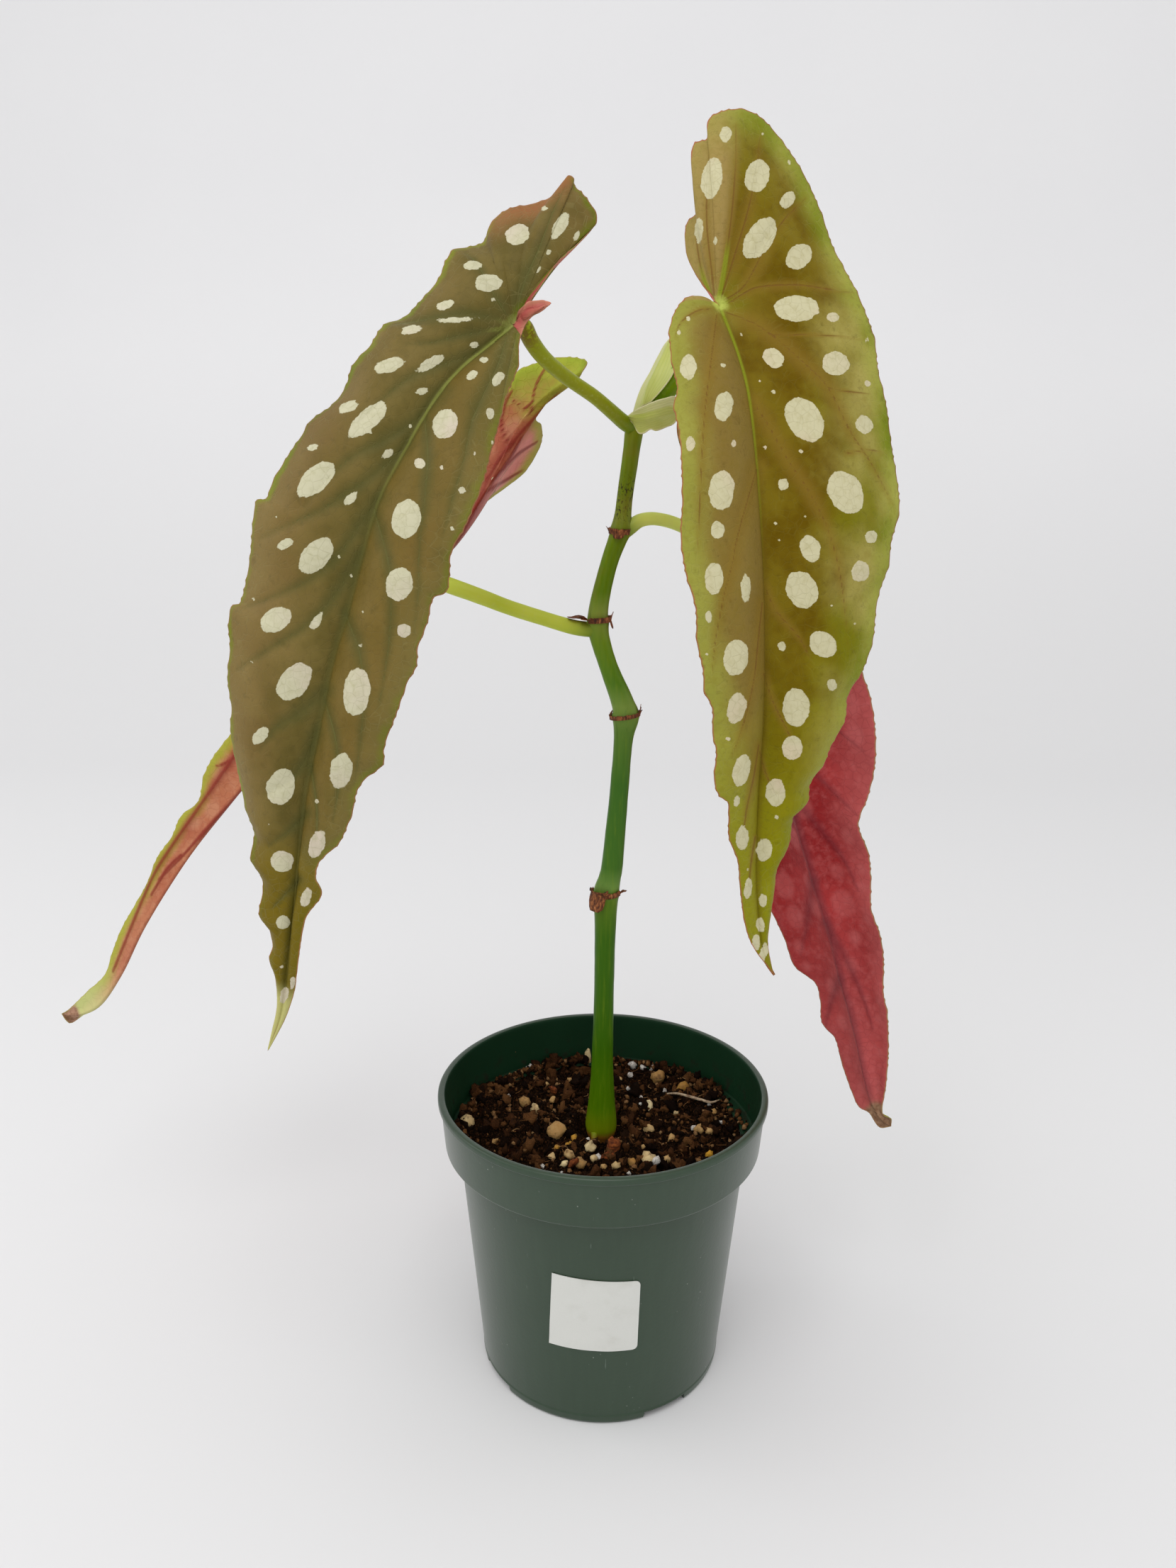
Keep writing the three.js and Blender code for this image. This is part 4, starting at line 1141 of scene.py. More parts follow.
# Read off the picture: x and y in pixels, then the depth along Y in millimetres
stipule_outlines = {
    "upper": {
        "midrib": [(906, 574, -8), (914, 545, -11), (928, 515, -13), (940, 492, -12), (950, 472, -10)],
        "broad_lobe": [(912, 571, -10), (918, 568, -12)],
        "broad_side": [(931, 553, -18), (944, 538, -24), (951, 525, -26), (958, 500, -20)],
        "slim_lobe": [(900, 578, -5), (893, 582, -3)],
        "slim_side": [(904, 547, -4), (918, 523, -6), (929, 501, -7), (937, 486, -8)],
    },
    "lower": {
        "midrib": [(885, 588, -4), (905, 592, -8), (925, 588, -13), (945, 582, -16), (962, 578, -18)],
        "broad_lobe": [(887, 592, -4), (894, 599, -4.5)],
        "broad_side": [
            (900, 611, -6), (908, 612, -7), (918, 606, -8.5), (926, 608, -9), (940, 603, -10),
            (952, 597, -12),
        ],
        "slim_lobe": [(886, 587, -3.5), (888, 585, -4)],
        "slim_side": [(894, 580, -6), (909, 572, -11), (923, 566, -16), (936, 562, -20), (953, 560, -24)],
    },
}
stipule_thickness = 0.3
# Where no vein is near, in millimetres
far_off = 99.0
stipule_fineness = (40, 6, 12)
stipule_plan = {
    "bulge": 1.1, "teeth": 0.0, "tooth_step": 2, "pillow": 0.0, "ripple": 0.25, "waves": 2, "groove": 0.15,
    "upper": -1, "folded": (0, 0),
}


def placed(outline):
    """An outline's lines as points in millimetres, from their readings in the picture.

    Each side starts where its lobe ends, and both sides end at the tip, where the midrib does.
    """
    lines = {name: [from_photo(*reading) for reading in line] for name, line in outline.items()}
    for half in ("broad", "slim"):
        lines[half + "_side"] = [lines[half + "_lobe"][-1], *lines[half + "_side"], lines["midrib"][-1]]
    return lines


def no_veins(points):
    """A scale has no main veins: every point is far from one."""
    far = np.full(len(points), far_off)
    return far, far, -far


membrane, membrane_place = finish("stipule_skin", Roughness=0.42, Specular_IOR_Level=0.25)
out = membrane_place.painted("across")
lines = membrane_place.maths("SINE", out * 40 + 2.0 * membrane_place.grain(200, 2))
body = membrane_place.grain(160, 3).blend(rgb(166, 178, 66), rgb(196, 202, 116))
body = ((0 - out).step(0.35, 0.5) * 0.6).blend(body, rgb(206, 206, 150))
body = (lines.step(0.2, 1.0) * 0.25).blend(body, rgb(152, 168, 60))
papery = (1 - membrane_place.painted("edge").step(0.15, 0.6)) * 0.8
papery.blend(body, rgb(222, 220, 172)).feed("Base Color")
(lines + membrane_place.grain(1200, 2)).relief(0.25, 0.0001)
for key, outline in stipule_outlines.items():
    points, faces, _, values = blade(
        placed(outline), stipule_thickness, stipule_fineness, stipule_plan, no_veins
    )
    stipule = make_piece("bud_scale_" + key, points, faces, membrane, values=values)
    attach(stipule, "root")
    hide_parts("stipule_" + key)

# Leaf blades: soft, slightly fleshy angel wings, unequal halves on an off-centre stalk. The upper side
# is olive with silver spots, where the skin stands off the green below; the underside is wine red.
pixels_per_mm = 4.7
leaf_thickness = 0.55
tiny_spot = 9
# Where no spot is near, in millimetres
no_spot = 9.0


def veins_seen(points, veins):
    """Distances from points to the main veins: in millimetres, and as a share of a vein's band.

    A vein is read off the picture: half its band in millimetres, how far it stays bright in
    millimetres, and its course in pixels. The last answer is how much of the bright part lies ahead.
    """
    seen = to_photo(points * mm)
    closest = np.full(len(points), far_off)
    band = np.full(len(points), far_off)
    bright = np.full(len(points), -far_off)
    for half_band, bright_length, course in veins:
        path = smooth_line([(x, y, 0) for x, y in course], 5)[:, :2]
        steps = np.diff(path, axis=0)
        lengths = np.linalg.norm(steps, axis=1)
        starts = np.cumsum(lengths) - lengths
        for start, step, length, passed in zip(path, steps, lengths, starts):
            t = np.clip((seen - start) @ step / length ** 2, 0, 1)
            away = np.linalg.norm(seen - start - t[:, None] * step, axis=1) / pixels_per_mm
            run = (passed + t * length) / pixels_per_mm
            # The band narrows along the vein and fades at its end
            share = run * pixels_per_mm / lengths.sum()
            band = np.minimum(band, away / (half_band * (1 - 0.35 * share)) + 0.55 * share ** 3)
            bright = np.where(away < closest, bright_length - run, bright)
            closest = np.minimum(closest, away)
    return closest, band, bright


def spots_seen(points, spots):
    """Distance in millimetres from each point to the edge of the closest spot, below 0 inside.

    A spot is read off the picture: centre, length and width in pixels, and tilt in degrees. A tiny
    one moves to the closest point, so that it isn't lost between points.
    """
    seen = to_photo(points * mm)
    closest = np.full(len(points), no_spot)
    for x, y, length, width, tilt in spots:
        if length < tiny_spot:
            x, y = seen[np.argmin(np.hypot(seen[:, 0] - x, seen[:, 1] - y))]
        turn = math.radians(tilt)
        right = seen[:, 0] - x
        up = y - seen[:, 1]
        along = (right * math.cos(turn) + up * math.sin(turn)) / (length / 2)
        across = (up * math.cos(turn) - right * math.sin(turn)) / (width / 2)
        away = (np.hypot(along, across) - 1) * min(length, width) / 2 / pixels_per_mm
        closest = np.minimum(closest, away)
    return closest


def spots_scattered(points, values, seed):
    """The same for a side that the picture doesn't show: spots of a likely size and spacing."""
    tries = 1500
    edge_room = 2.5
    spot_gap = 3.4
    spot_radii = (0.6, 0.8, 2.4, 3.2, 4.2, 5.0)
    spot_length = 1.3
    chance = random.Random(seed)
    order = chance.sample(range(len(points) // 2), tries)
    axis = points[np.argmax(values["along"])] - points[0]
    axis = axis / np.linalg.norm(axis)
    chosen = []
    for k in order:
        if values["edge"][k] > edge_room and values["rib"][k] > edge_room:
            room = min([np.linalg.norm(points[k] - points[c]) - r for c, r in chosen] + [far_off])
            size = min(values["edge"][k] * 0.45, chance.choice(spot_radii))
            if room > size + spot_gap:
                chosen.append((k, size))
    closest = np.full(len(points), no_spot)
    for k, size in chosen:
        off = points - points[k]
        along = off @ axis
        across = np.linalg.norm(off - along[:, None] * axis, axis=1)
        closest = np.minimum(closest, np.hypot(along / spot_length, across) - size)
    return closest


def upper_finish(name, paint):
    """The olive upper side with its soft bands along the veins, silver spots and thin red margin."""
    leaf, place = finish(name, Specular_IOR_Level=paint["gloss"])
    seam, band, bright, edge, rib, along, across, stalk = [
        place.painted(number)
        for number in ("seam", "band", "bright", "edge", "rib", "along", "across", "stalk")
    ]
    cloud = place.grain(38, 3)
    patch = place.grain(80, 3, 0.6)
    mottle = place.grain(420, 4, 0.7)
    soft_cloud = cloud.step(0.35, 0.65)
    uneven_edge = edge + 7 * (patch - 0.5)
    body = patch.step(0.35, 0.65).blend(paint["centre"], paint["light"])
    # The colour changes far from the midrib, and turns green at the margin. Their paler patches are partly
    # the leaf's own tone and partly painted sheen
    far_out = rib * (0.5 + 0.5 * along.step(-0.1, 0.1) + along.step(0, 1)) + 26 * (patch - 0.5)
    body = far_out.step(*paint["far_reach"]).blend(body, soft_cloud.blend(paint["far"], paint["far_pale_and_sheen"]))
    near_margin = 1 - uneven_edge.step(*paint["green_reach"])
    body = near_margin.blend(body, soft_cloud.blend(paint["margin"], paint["margin_pale_and_sheen"]))
    # The slim half is paler than the broad one: partly its own colour, partly painted light, as the two
    # halves face the light differently
    slim = (1 - across.step(-0.04, 0.02)) * paint["slim_strength"]
    body = slim.blend(body, uneven_edge.step(1, 9).blend(paint["slim_margin"], paint["slim"]))
    # The lobe blushes, with a tone of its own where it folds over, and the tip is plain green
    lobe = along.step(*paint["blush_start"]) * (1 - along.step(*paint["blush_end"]))
    lobe = lobe * (1 - (edge + 6 * (patch - 0.5)).step(*paint["blush_edge"]))
    lobe = lobe * stalk.step(*paint["blush_far"])
    body = (lobe * paint["blush_strength"]).blend(body, paint["blush"])
    crown = (stalk + 10 * (patch - 0.5)).step(*paint["crown_reach"]) * (1 - along.step(-0.44, -0.3))
    body = (crown * 0.75).blend(body, paint["crown"])
    tip = (along + 0.1 * (patch - 0.5)).step(*paint["tip_reach"])
    body = (tip * 0.8).blend(body, paint["tip"])
    body = (mottle.step(0.4, 0.75) * 0.3).blend(body, paint["light"])
    body = ((1 - mottle).step(0.5, 0.75) * 0.35).blend(body, paint["dark"])
    # Veins: a soft band, a net of fine ones, a thread in each band, and a bright start
    soft_band = 1 - (band + 0.5 * (patch - 0.5) + 0.2 * (mottle - 0.5)).step(-0.1, 1.0)
    body = (soft_band * edge.step(0.1, 4.0) * paint["band_strength"]).blend(body, paint["band"])
    net = 1 - (place.cells(430, "DISTANCE_TO_EDGE") + 0.1 * (mottle - 0.5)).step(0.0, 0.05)
    body = (net * (0.06 + 0.22 * (1 - edge.step(3, 10)))).blend(body, paint["net"])
    thread = (1 - (seam + 0.3 * (mottle - 0.5)).step(0.05, 0.34)) * (1 - band.step(0.3, 0.7))
    body = (thread * paint["thread_strength"]).blend(body, paint["thread"])
    stroke = (1 - seam.step(0.3, 0.95)) * bright.step(0, 8)
    body = (stroke * 0.8).blend(body, paint["rib"])
    # Painted shade: a darker strip on either side of the raised midrib
    rib_shade = (1 - (rib + 0.5 * (mottle - 0.5)).step(0.5, 2.4)) * 0.5
    body = rib_shade.blend(body, paint["rib_shade_colour"])
    rib_line = (1 - (rib + 0.9 * along).step(*paint["rib_width"])) * paint["rib_strength"]
    body = (rib_line * (1 - along.step(*paint["rib_reach"]))).blend(body, paint["rib"])
    # The star over the stalk, the drip tip, the spots and the margin
    star = 1 - (stalk + 3 * (mottle - 0.5)).step(0.8, 3.4)
    body = (star * 0.85).blend(body, paint["star"])
    body = (along + 0.02 * (patch - 0.5)).step(*paint["point_reach"]).blend(body, paint["point"])
    spot = 1 - (place.painted("spot") + 1.5 * (place.grain(420, 3, 0.65) - 0.5)).step(-0.1, 0.08)
    shade = 0.25 * net + 0.5 * place.grain(620, 4, 0.65).step(0.4, 0.75)
    silver = shade.blend(cloud.step(0.5, 0.7).blend(paint["spot"], paint["spot_pink"]), paint["spot_shade"])
    body = spot.blend(body, silver)
    rolled = (1 - (edge + 9 * (along + 1)).step(1.2, 1.9)) * across.step(0, 0.02)
    body = (rolled * paint["roll_strength"]).blend(body, paint["roll"])
    red_line = 1 - (edge + 0.3 * (mottle - 0.5)).step(0.12, 0.42)
    (red_line * 0.7).blend(body, paint["line"]).feed("Base Color")
    (paint["roughness"] + 0.12 * mottle + 0.14 * spot).feed("Roughness")
    (0.5 * mottle - 0.5 * net - 0.8 * thread + 0.5 * spot).relief(0.5, 0.0002)
    return leaf


def under_finish(name, paint):
    """The red underside with raised darker veins, paler patches under the spots and a green margin."""
    leaf, place = finish(name, Specular_IOR_Level=paint["gloss"])
    seam, band, edge, rib, along, across = [
        place.painted(number) for number in ("seam", "band", "edge", "rib", "along", "across")
    ]
    cloud = place.grain(50, 3)
    mottle = place.grain(320, 4, 0.65)
    body = cloud.step(0.35, 0.7).blend(paint["deep"], paint["flesh"])
    body = (mottle.step(0.42, 0.75) * 0.35).blend(body, paint["pale"])
    # The blade is paler towards its tip, and on leaf d its slim half is paler too: a painted sheen
    sheen_side = (across * paint["sheen_side"]).step(0.3, 1.0)
    pale = place.maths("MAXIMUM", along.step(*paint["pale_reach"]), sheen_side)
    body = (pale * 0.5).blend(body, paint["pale"])
    # The lobe has a colour of its own; on leaf c it is pinker and lighter, partly its own colour and partly
    # painted light to lift the shade it lies in
    lobe = along.step(-0.36, -0.3) * (1 - along.step(-0.04, 0.06))
    body = (lobe * 0.75).blend(body, paint["lobe"])
    patch = 1 - (place.painted("spot") + 2.4 * (mottle - 0.5)).step(-1.2, 0.8)
    body = (patch * 0.35).blend(body, paint["pale"])
    net = 1 - (place.cells(380, "DISTANCE_TO_EDGE") + 0.1 * (mottle - 0.5)).step(0.0, 0.07)
    body = (net * 0.12).blend(body, paint["vein"])
    # The margin is green, and so is all that stands high in the light
    near_margin = 1 - (edge + 3 * (cloud - 0.5) + 2 * (mottle - 0.5)).step(*paint["margin_reach"])
    body = (near_margin * paint["margin_strength"]).blend(body, paint["margin"])
    high = (place.part(2) * 1000 + 24 * (cloud - 0.5) + 18 * (mottle - 0.5)).step(*paint["green_heights"])
    body = (high * 0.9).blend(body, cloud.step(0.35, 0.65).blend(paint["green"], paint["margin"]))
    soft_vein = 1 - (band + 0.2 * (mottle - 0.5)).step(0.0, 1.0)
    thin_vein = 1 - (seam + 0.3 * (mottle - 0.5)).step(0.1, 0.65)
    body = (soft_vein * paint["soft_strength"]).blend(body, paint["vein"])
    body = (thin_vein * paint["thin_strength"]).blend(body, paint["vein"])
    midrib = 1 - (rib + 0.9 * along + 0.8 * (mottle - 0.5)).step(0.5, paint["rib_width"])
    body = (midrib * paint["rib_strength"]).blend(body, paint["rib"])
    body = ((along + 0.1 * (cloud - 0.5)).step(*paint["tip_reach"]) * 0.8).blend(body, paint["tip"])
    dry = (along + 0.012 * (mottle - 0.5)).step(*paint["dry"])
    body = dry.blend(body, mottle.step(0.35, 0.65).blend(paint["dry_tip"], rgb(116, 82, 58)))
    ((1 - edge.step(0.15, 0.5)) * 0.6).blend(body, paint["line"]).feed("Base Color")
    (0.42 + 0.18 * mottle + 0.2 * dry).feed("Roughness")
    (0.4 * mottle + 0.6 * thin_vein + 0.5 * net + 0.7 * midrib + 0.8 * soft_vein).relief(0.5, 0.0003)
    return leaf


margin_edge, margin_place = finish("leaf_margin", Roughness=0.5, Specular_IOR_Level=0.3)
margin_place.grain(500, 3).step(0.35, 0.65).blend(rgb(150, 96, 74), rgb(128, 132, 60)).feed("Base Color")
margin_place.grain(1600, 2).relief(0.3, 0.0001)


def hang_leaf(key, outline, veins, fineness, plan, spot_rule, upper, under):
    """Makes one blade, marks its veins and spots and hangs it in place of the plain one.

    Its outline is read off the picture: x and y in pixels, then the depth along Y in millimetres.
    """
    points, faces, finish_of_face, values = blade(
        placed(outline), leaf_thickness, fineness, plan, lambda places: veins_seen(places, veins)
    )
    values["spot"] = spot_rule(points, values)
    leaf = make_piece(
        "wing_leaf_" + key, points, faces, upper, under, margin_edge,
        finish_of_face=finish_of_face, values=values,
    )
    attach(leaf, "root")
    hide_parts("leaf_" + key)


# What the blades have in common; each leaf's own plan changes some of it. Its upper side is turned
# one way or the other, 1 or -1, and its lobe folds over in one half, from the start to a share of it.
leaf_plan = {
    "teeth": 0.3, "tooth_step": 3.4, "pillow": 0.45, "ripple": 0.2, "waves": 6, "groove": 0.4, "upper": 1,
    "folded": (0, 0),
}
front_fineness = (300, 10, 44)
rear_fineness = (220, 8, 34)
# A height that no leaf reaches, for a blade that doesn't turn green at the top
above_all = (900, 901)

# Leaf a, upper left: it hangs on its edge and faces the viewer, browner than leaf b. Its slim half
# turns away to the right and the corner of its lobe curls over the stalk.
outline_a = {
    "midrib": [
        (725, 460, -38.5), (690, 488, -43), (649, 522, -48), (612, 566, -53), (569, 640, -58),
        (536, 703, -61), (515, 770, -63), (496, 845, -64), (470, 934, -65), (447, 1045, -65),
        (432, 1120, -64), (423, 1202, -63), (413, 1300, -61), (403, 1385, -60), (395, 1436, -59),
        (378, 1482, -58),
    ],
    "broad_lobe": [
        (746, 428, -39.5), (758, 410, -40), (774, 388, -39), (791, 367, -37), (812, 346, -34),
        (833, 324, -30), (842, 312, -29), (836, 293, -28), (822, 273, -27), (810, 262, -26),
        (809, 252, -26), (802, 248, -26), (797, 254, -26), (798, 266, -25), (770, 283, -24),
        (745, 289, -24), (722, 293, -24), (703, 305, -24), (690, 322, -26), (682, 341, -27),
        (660, 349, -29), (640, 354, -31), (628, 370, -33),
    ],
    "broad_side": [
        (618, 395, -35), (590, 428, -38), (568, 450, -40), (542, 459, -42), (522, 490, -44),
        (498, 516, -46), (488, 545, -47), (470, 570, -49), (440, 592, -50), (426, 615, -51),
        (408, 642, -52), (386, 680, -53), (376, 704, -54), (362, 707, -54), (356, 745, -55),
        (352, 795, -55), (341, 848, -56), (329, 855, -56), (323, 882, -56), (325, 912, -57),
        (321, 958, -57), (327, 998, -58), (326, 1029, -58), (333, 1069, -58), (341, 1110, -58),
        (348, 1145, -59), (359, 1176, -59), (354, 1211, -60), (368, 1234, -60), (372, 1254, -60),
        (366, 1290, -60), (380, 1310, -60), (385, 1335, -60), (380, 1353, -60), (389, 1381, -60),
        (391, 1420, -59), (383, 1457, -58),
    ],
    "slim_lobe": [
        (729, 448, -42), (733, 438, -43), (741, 429, -44), (751, 424, -45), (777, 427, -46),
        (762, 440, -45), (749, 448, -44), (741, 459, -43), (735, 473, -43),
    ],
    "slim_side": [
        (732, 490, -45), (732, 508, -47), (729, 524, -49), (714, 560, -54), (703, 600, -58),
        (692, 640, -62), (682, 680, -66), (664, 725, -69), (652, 750, -71), (636, 778, -72),
        (634, 810, -72), (629, 836, -73), (611, 845, -73), (604, 877, -73), (590, 912, -73),
        (587, 940, -73), (573, 965, -73), (560, 1005, -73), (543, 1052, -72), (541, 1078, -72),
        (517, 1097, -71), (503, 1117, -70), (497, 1145, -69), (480, 1187, -68), (459, 1207, -67),
        (449, 1220, -66), (446, 1240, -66), (454, 1262, -65), (433, 1292, -64), (426, 1320, -63),
        (419, 1373, -61), (415, 1400, -60), (401, 1440, -59),
    ],
}
spots_a = [
    (730, 331, 35, 29, 20), (768, 294, 10, 7, 0), (760, 381, 8, 4, 60), (790, 319, 42, 17, 62),
    (814, 332, 17, 8, 65), (774, 356, 8, 7, 0), (667, 375, 24, 13, 0), (689, 399, 40, 25, 0),
    (627, 431, 25, 13, 20), (643, 451, 56, 9, 4), (580, 465, 29, 12, 8), (669, 487, 16, 8, 10),
    (549, 515, 44, 20, 16), (607, 513, 48, 14, 30), (683, 508, 11, 9, 0), (666, 529, 18, 11, 30),
    (703, 534, 22, 14, 60), (595, 552, 19, 10, 10), (492, 574, 31, 15, 22), (519, 592, 68, 28, 42),
    (628, 598, 43, 35, 70), (691, 583, 15, 12, 90), (442, 631, 16, 10, 20), (547, 640, 20, 11, 40),
    (592, 654, 15, 14, 0), (446, 676, 64, 34, 42), (669, 641, 6, 6, 0), (495, 703, 28, 12, 45),
    (652, 692, 10, 9, 0), (573, 732, 55, 41, 78), (638, 748, 8, 8, 0), (695, 625, 5, 5, 0),
    (522, 612, 5, 5, 0), (579, 603, 5, 5, 0), (623, 659, 6, 6, 0), (388, 730, 5, 5, 0),
    (696, 423, 6, 5, 0), (446, 784, 62, 36, 46), (403, 767, 24, 13, 30), (563, 824, 48, 39, 75),
    (389, 875, 48, 33, 30), (446, 877, 30, 12, 55), (570, 890, 20, 19, 0), (415, 962, 60, 40, 48),
    (503, 976, 68, 38, 84), (367, 1038, 30, 17, 45), (481, 1087, 49, 32, 80), (396, 1110, 52, 39, 70),
    (447, 1191, 41, 21, 72), (398, 1215, 33, 30, 0), (432, 1266, 28, 14, 75), (399, 1301, 20, 19, 0),
    (413, 1387, 20, 8, 85), (401, 1405, 24, 12, 75), (358, 844, 6, 6, 0), (512, 864, 6, 5, 0),
    (509, 910, 6, 5, 0), (357, 932, 6, 5, 0), (495, 813, 5, 5, 0), (447, 1130, 6, 5, 0),
    (379, 1165, 5, 5, 0), (478, 787, 5, 5, 0), (398, 1363, 5, 5, 0),
]
veins_a = [
    (5.2, 0, [(730, 452), (734, 420), (744, 388), (760, 352), (780, 300), (798, 264)]),
    (4.6, 0, [(722, 458), (704, 428), (692, 408), (672, 372), (656, 358)]),
    (4.2, 6, [(720, 460), (692, 448), (660, 444), (620, 448), (580, 456), (538, 461)]),
    (4.2, 9, [(720, 462), (680, 468), (640, 476), (608, 484), (576, 486)]),
    (5.2, 12, [(716, 466), (672, 496), (632, 512), (592, 526), (560, 546), (532, 572), (508, 596)]),
    (5.2, 0, [(624, 550), (590, 590), (545, 620), (505, 640), (470, 668), (430, 715)]),
    (5.0, 0, [(576, 624), (544, 656), (496, 692), (452, 720), (400, 744), (368, 760)]),
    (5.0, 0, [(536, 700), (508, 740), (480, 780), (440, 816), (390, 840), (345, 858)]),
    (4.6, 0, [(508, 780), (480, 828), (440, 876), (380, 916), (335, 945)]),
    (5.2, 0, [(460, 975), (427, 1003), (390, 1026), (367, 1060)]),
    (4.2, 0, [(447, 1030), (433, 1067), (410, 1100), (375, 1120)]),
    (3.6, 0, [(433, 1147), (407, 1172), (380, 1192)]),
    (3.0, 0, [(423, 1240), (402, 1262), (384, 1282)]),
    (3.0, 0, [(729, 470), (722, 500), (713, 540), (704, 585)]),
    (4.6, 0, [(716, 476), (700, 520), (680, 560), (664, 600), (654, 650), (638, 705), (624, 760)]),
    (4.0, 0, [(600, 586), (604, 640), (600, 700), (592, 770), (590, 840), (584, 900)]),
    (4.0, 0, [(528, 716), (548, 790), (552, 860), (546, 930), (534, 1000)]),
    (4.0, 0, [(488, 864), (508, 920), (514, 980), (508, 1050), (500, 1110)]),
    (3.2, 0, [(457, 980), (474, 1040), (478, 1100), (470, 1160)]),
    (1.8, 0, [(440, 1080), (448, 1140), (446, 1200)]),
]
plan_a = leaf_plan | {"bulge": -4, "folded": (-1, 0.003)}
# Where a colour starts and ends: green_reach and blush_edge are in millimetres from the edge, far_reach
# from the midrib, blush_far and crown_reach from the stalk, and the others are shares of the length
paint_a = {
    "gloss": 0.1, "roughness": 0.44, "centre": rgb(94, 82, 34), "light": rgb(110, 96, 46),
    "dark": rgb(76, 68, 28), "green_reach": (0.2, 2.4), "far_reach": (4, 30), "far": rgb(114, 92, 48),
    "far_pale_and_sheen": rgb(128, 108, 60), "margin": rgb(98, 108, 8), "margin_pale_and_sheen": rgb(124, 130, 34),
    "slim": rgb(114, 92, 36), "slim_margin": rgb(112, 104, 50), "slim_strength": 0.55,
    "blush": rgb(150, 92, 54), "blush_start": (-0.58, -0.5), "blush_end": (-0.3, -0.08),
    "blush_edge": (2, 11), "blush_far": (16, 32), "blush_strength": 0.8, "rib_shade_colour": rgb(80, 80, 34),
    "crown": rgb(206, 128, 114), "crown_reach": (44.5, 46.5), "tip": rgb(114, 96, 0),
    "tip_reach": (0.66, 0.78), "band": rgb(80, 80, 38), "band_strength": 0.7, "net": rgb(138, 128, 78),
    "thread": rgb(106, 108, 58), "thread_strength": 0.35, "rib": rgb(136, 142, 64), "rib_strength": 0.75,
    "rib_width": (0.3, 0.95), "rib_reach": (0.05, 0.36), "star": rgb(150, 156, 84),
    "point": rgb(188, 184, 116), "point_reach": (0.89, 0.93), "line": rgb(168, 112, 82),
    "roll": rgb(158, 62, 64), "roll_strength": 0.9, "spot": rgb(198, 194, 164),
    "spot_pink": rgb(202, 190, 170), "spot_shade": rgb(176, 172, 134),
}
paint_a_under = {
    "gloss": 0.12, "deep": rgb(168, 72, 68), "flesh": rgb(190, 98, 92), "pale": rgb(206, 140, 122),
    "lobe": rgb(196, 104, 96), "vein": rgb(146, 54, 54), "rib": rgb(176, 110, 80), "rib_width": 1.2,
    "rib_strength": 0.7, "margin": rgb(190, 160, 116), "margin_reach": (-1, 1.6), "margin_strength": 0.6,
    "green_heights": above_all, "green": rgb(150, 160, 60), "pale_reach": (0.5, 1.2), "sheen_side": 0,
    "dry": (1.1, 1.2), "tip": rgb(184, 178, 110), "tip_reach": (0.88, 1.0), "dry_tip": rgb(110, 80, 50),
    "line": rgb(206, 130, 110), "soft_strength": 0.3, "thin_strength": 0.5,
}
hang_leaf(
    "a", outline_a, veins_a, front_fineness, plan_a,
    lambda points, values: spots_seen(points, spots_a),
    upper_finish("leaf_a_upper", paint_a), under_finish("leaf_a_under", paint_a_under),
)

# Leaf b, upper right: nearly upright with its whole upper side to the viewer, green towards the
# margins and olive brown inside, with a bright star where the stalk joins it from behind.
outline_b = {
    "midrib": [
        (1012, 432, -38), (1040, 506, -45), (1056, 575, -51), (1069, 708, -58), (1076, 850, -62),
        (1075, 1000, -63), (1067, 1120, -62), (1064, 1220, -60), (1068, 1300, -58), (1076, 1350, -57),
        (1091, 1376, -57),
    ],
    "broad_lobe": [
        (1006, 419, -37), (987, 396, -34), (970, 362, -29), (968, 320, -26), (980, 303, -27),
        (987, 297, -28.5), (980, 262, -29), (975, 222, -29), (980, 202, -28), (997, 196, -27),
        (999, 170, -26), (1018, 157, -25), (1045, 155, -23), (1072, 166, -21), (1098, 192, -20),
        (1123, 228, -20), (1142, 265, -20), (1160, 305, -21), (1174, 346, -22), (1190, 380, -23),
        (1210, 415, -25),
    ],
    "broad_side": [
        (1232, 472, -27), (1238, 525, -30), (1250, 575, -32), (1258, 630, -35), (1265, 680, -38),
        (1267, 722, -41), (1257, 765, -43), (1254, 797, -45), (1240, 835, -46), (1234, 865, -47),
        (1230, 905, -48), (1216, 948, -50), (1196, 980, -51), (1191, 1015, -52), (1171, 1052, -53),
        (1162, 1077, -53), (1143, 1105, -54), (1139, 1132, -55), (1119, 1150, -55), (1112, 1192, -56),
        (1096, 1225, -56), (1092, 1258, -57), (1087, 1290, -57), (1083, 1330, -57),
    ],
    "slim_lobe": [(998, 431, -39), (984, 419, -40), (967, 421, -43), (952, 440, -46), (943, 468, -50)],
    "slim_side": [
        (947, 510, -55), (956, 548, -59), (951, 572, -62), (958, 610, -65), (961, 660, -69),
        (963, 710, -72), (961, 758, -74), (967, 810, -76), (981, 858, -77), (984, 905, -77),
        (992, 945, -77), (993, 975, -77), (1004, 1000, -76), (1005, 1035, -75), (1011, 1062, -75),
        (1008, 1100, -74), (1014, 1122, -73), (1027, 1135, -71), (1028, 1180, -69), (1041, 1215, -66),
        (1044, 1255, -64), (1050, 1300, -61), (1062, 1335, -59),
    ],
}
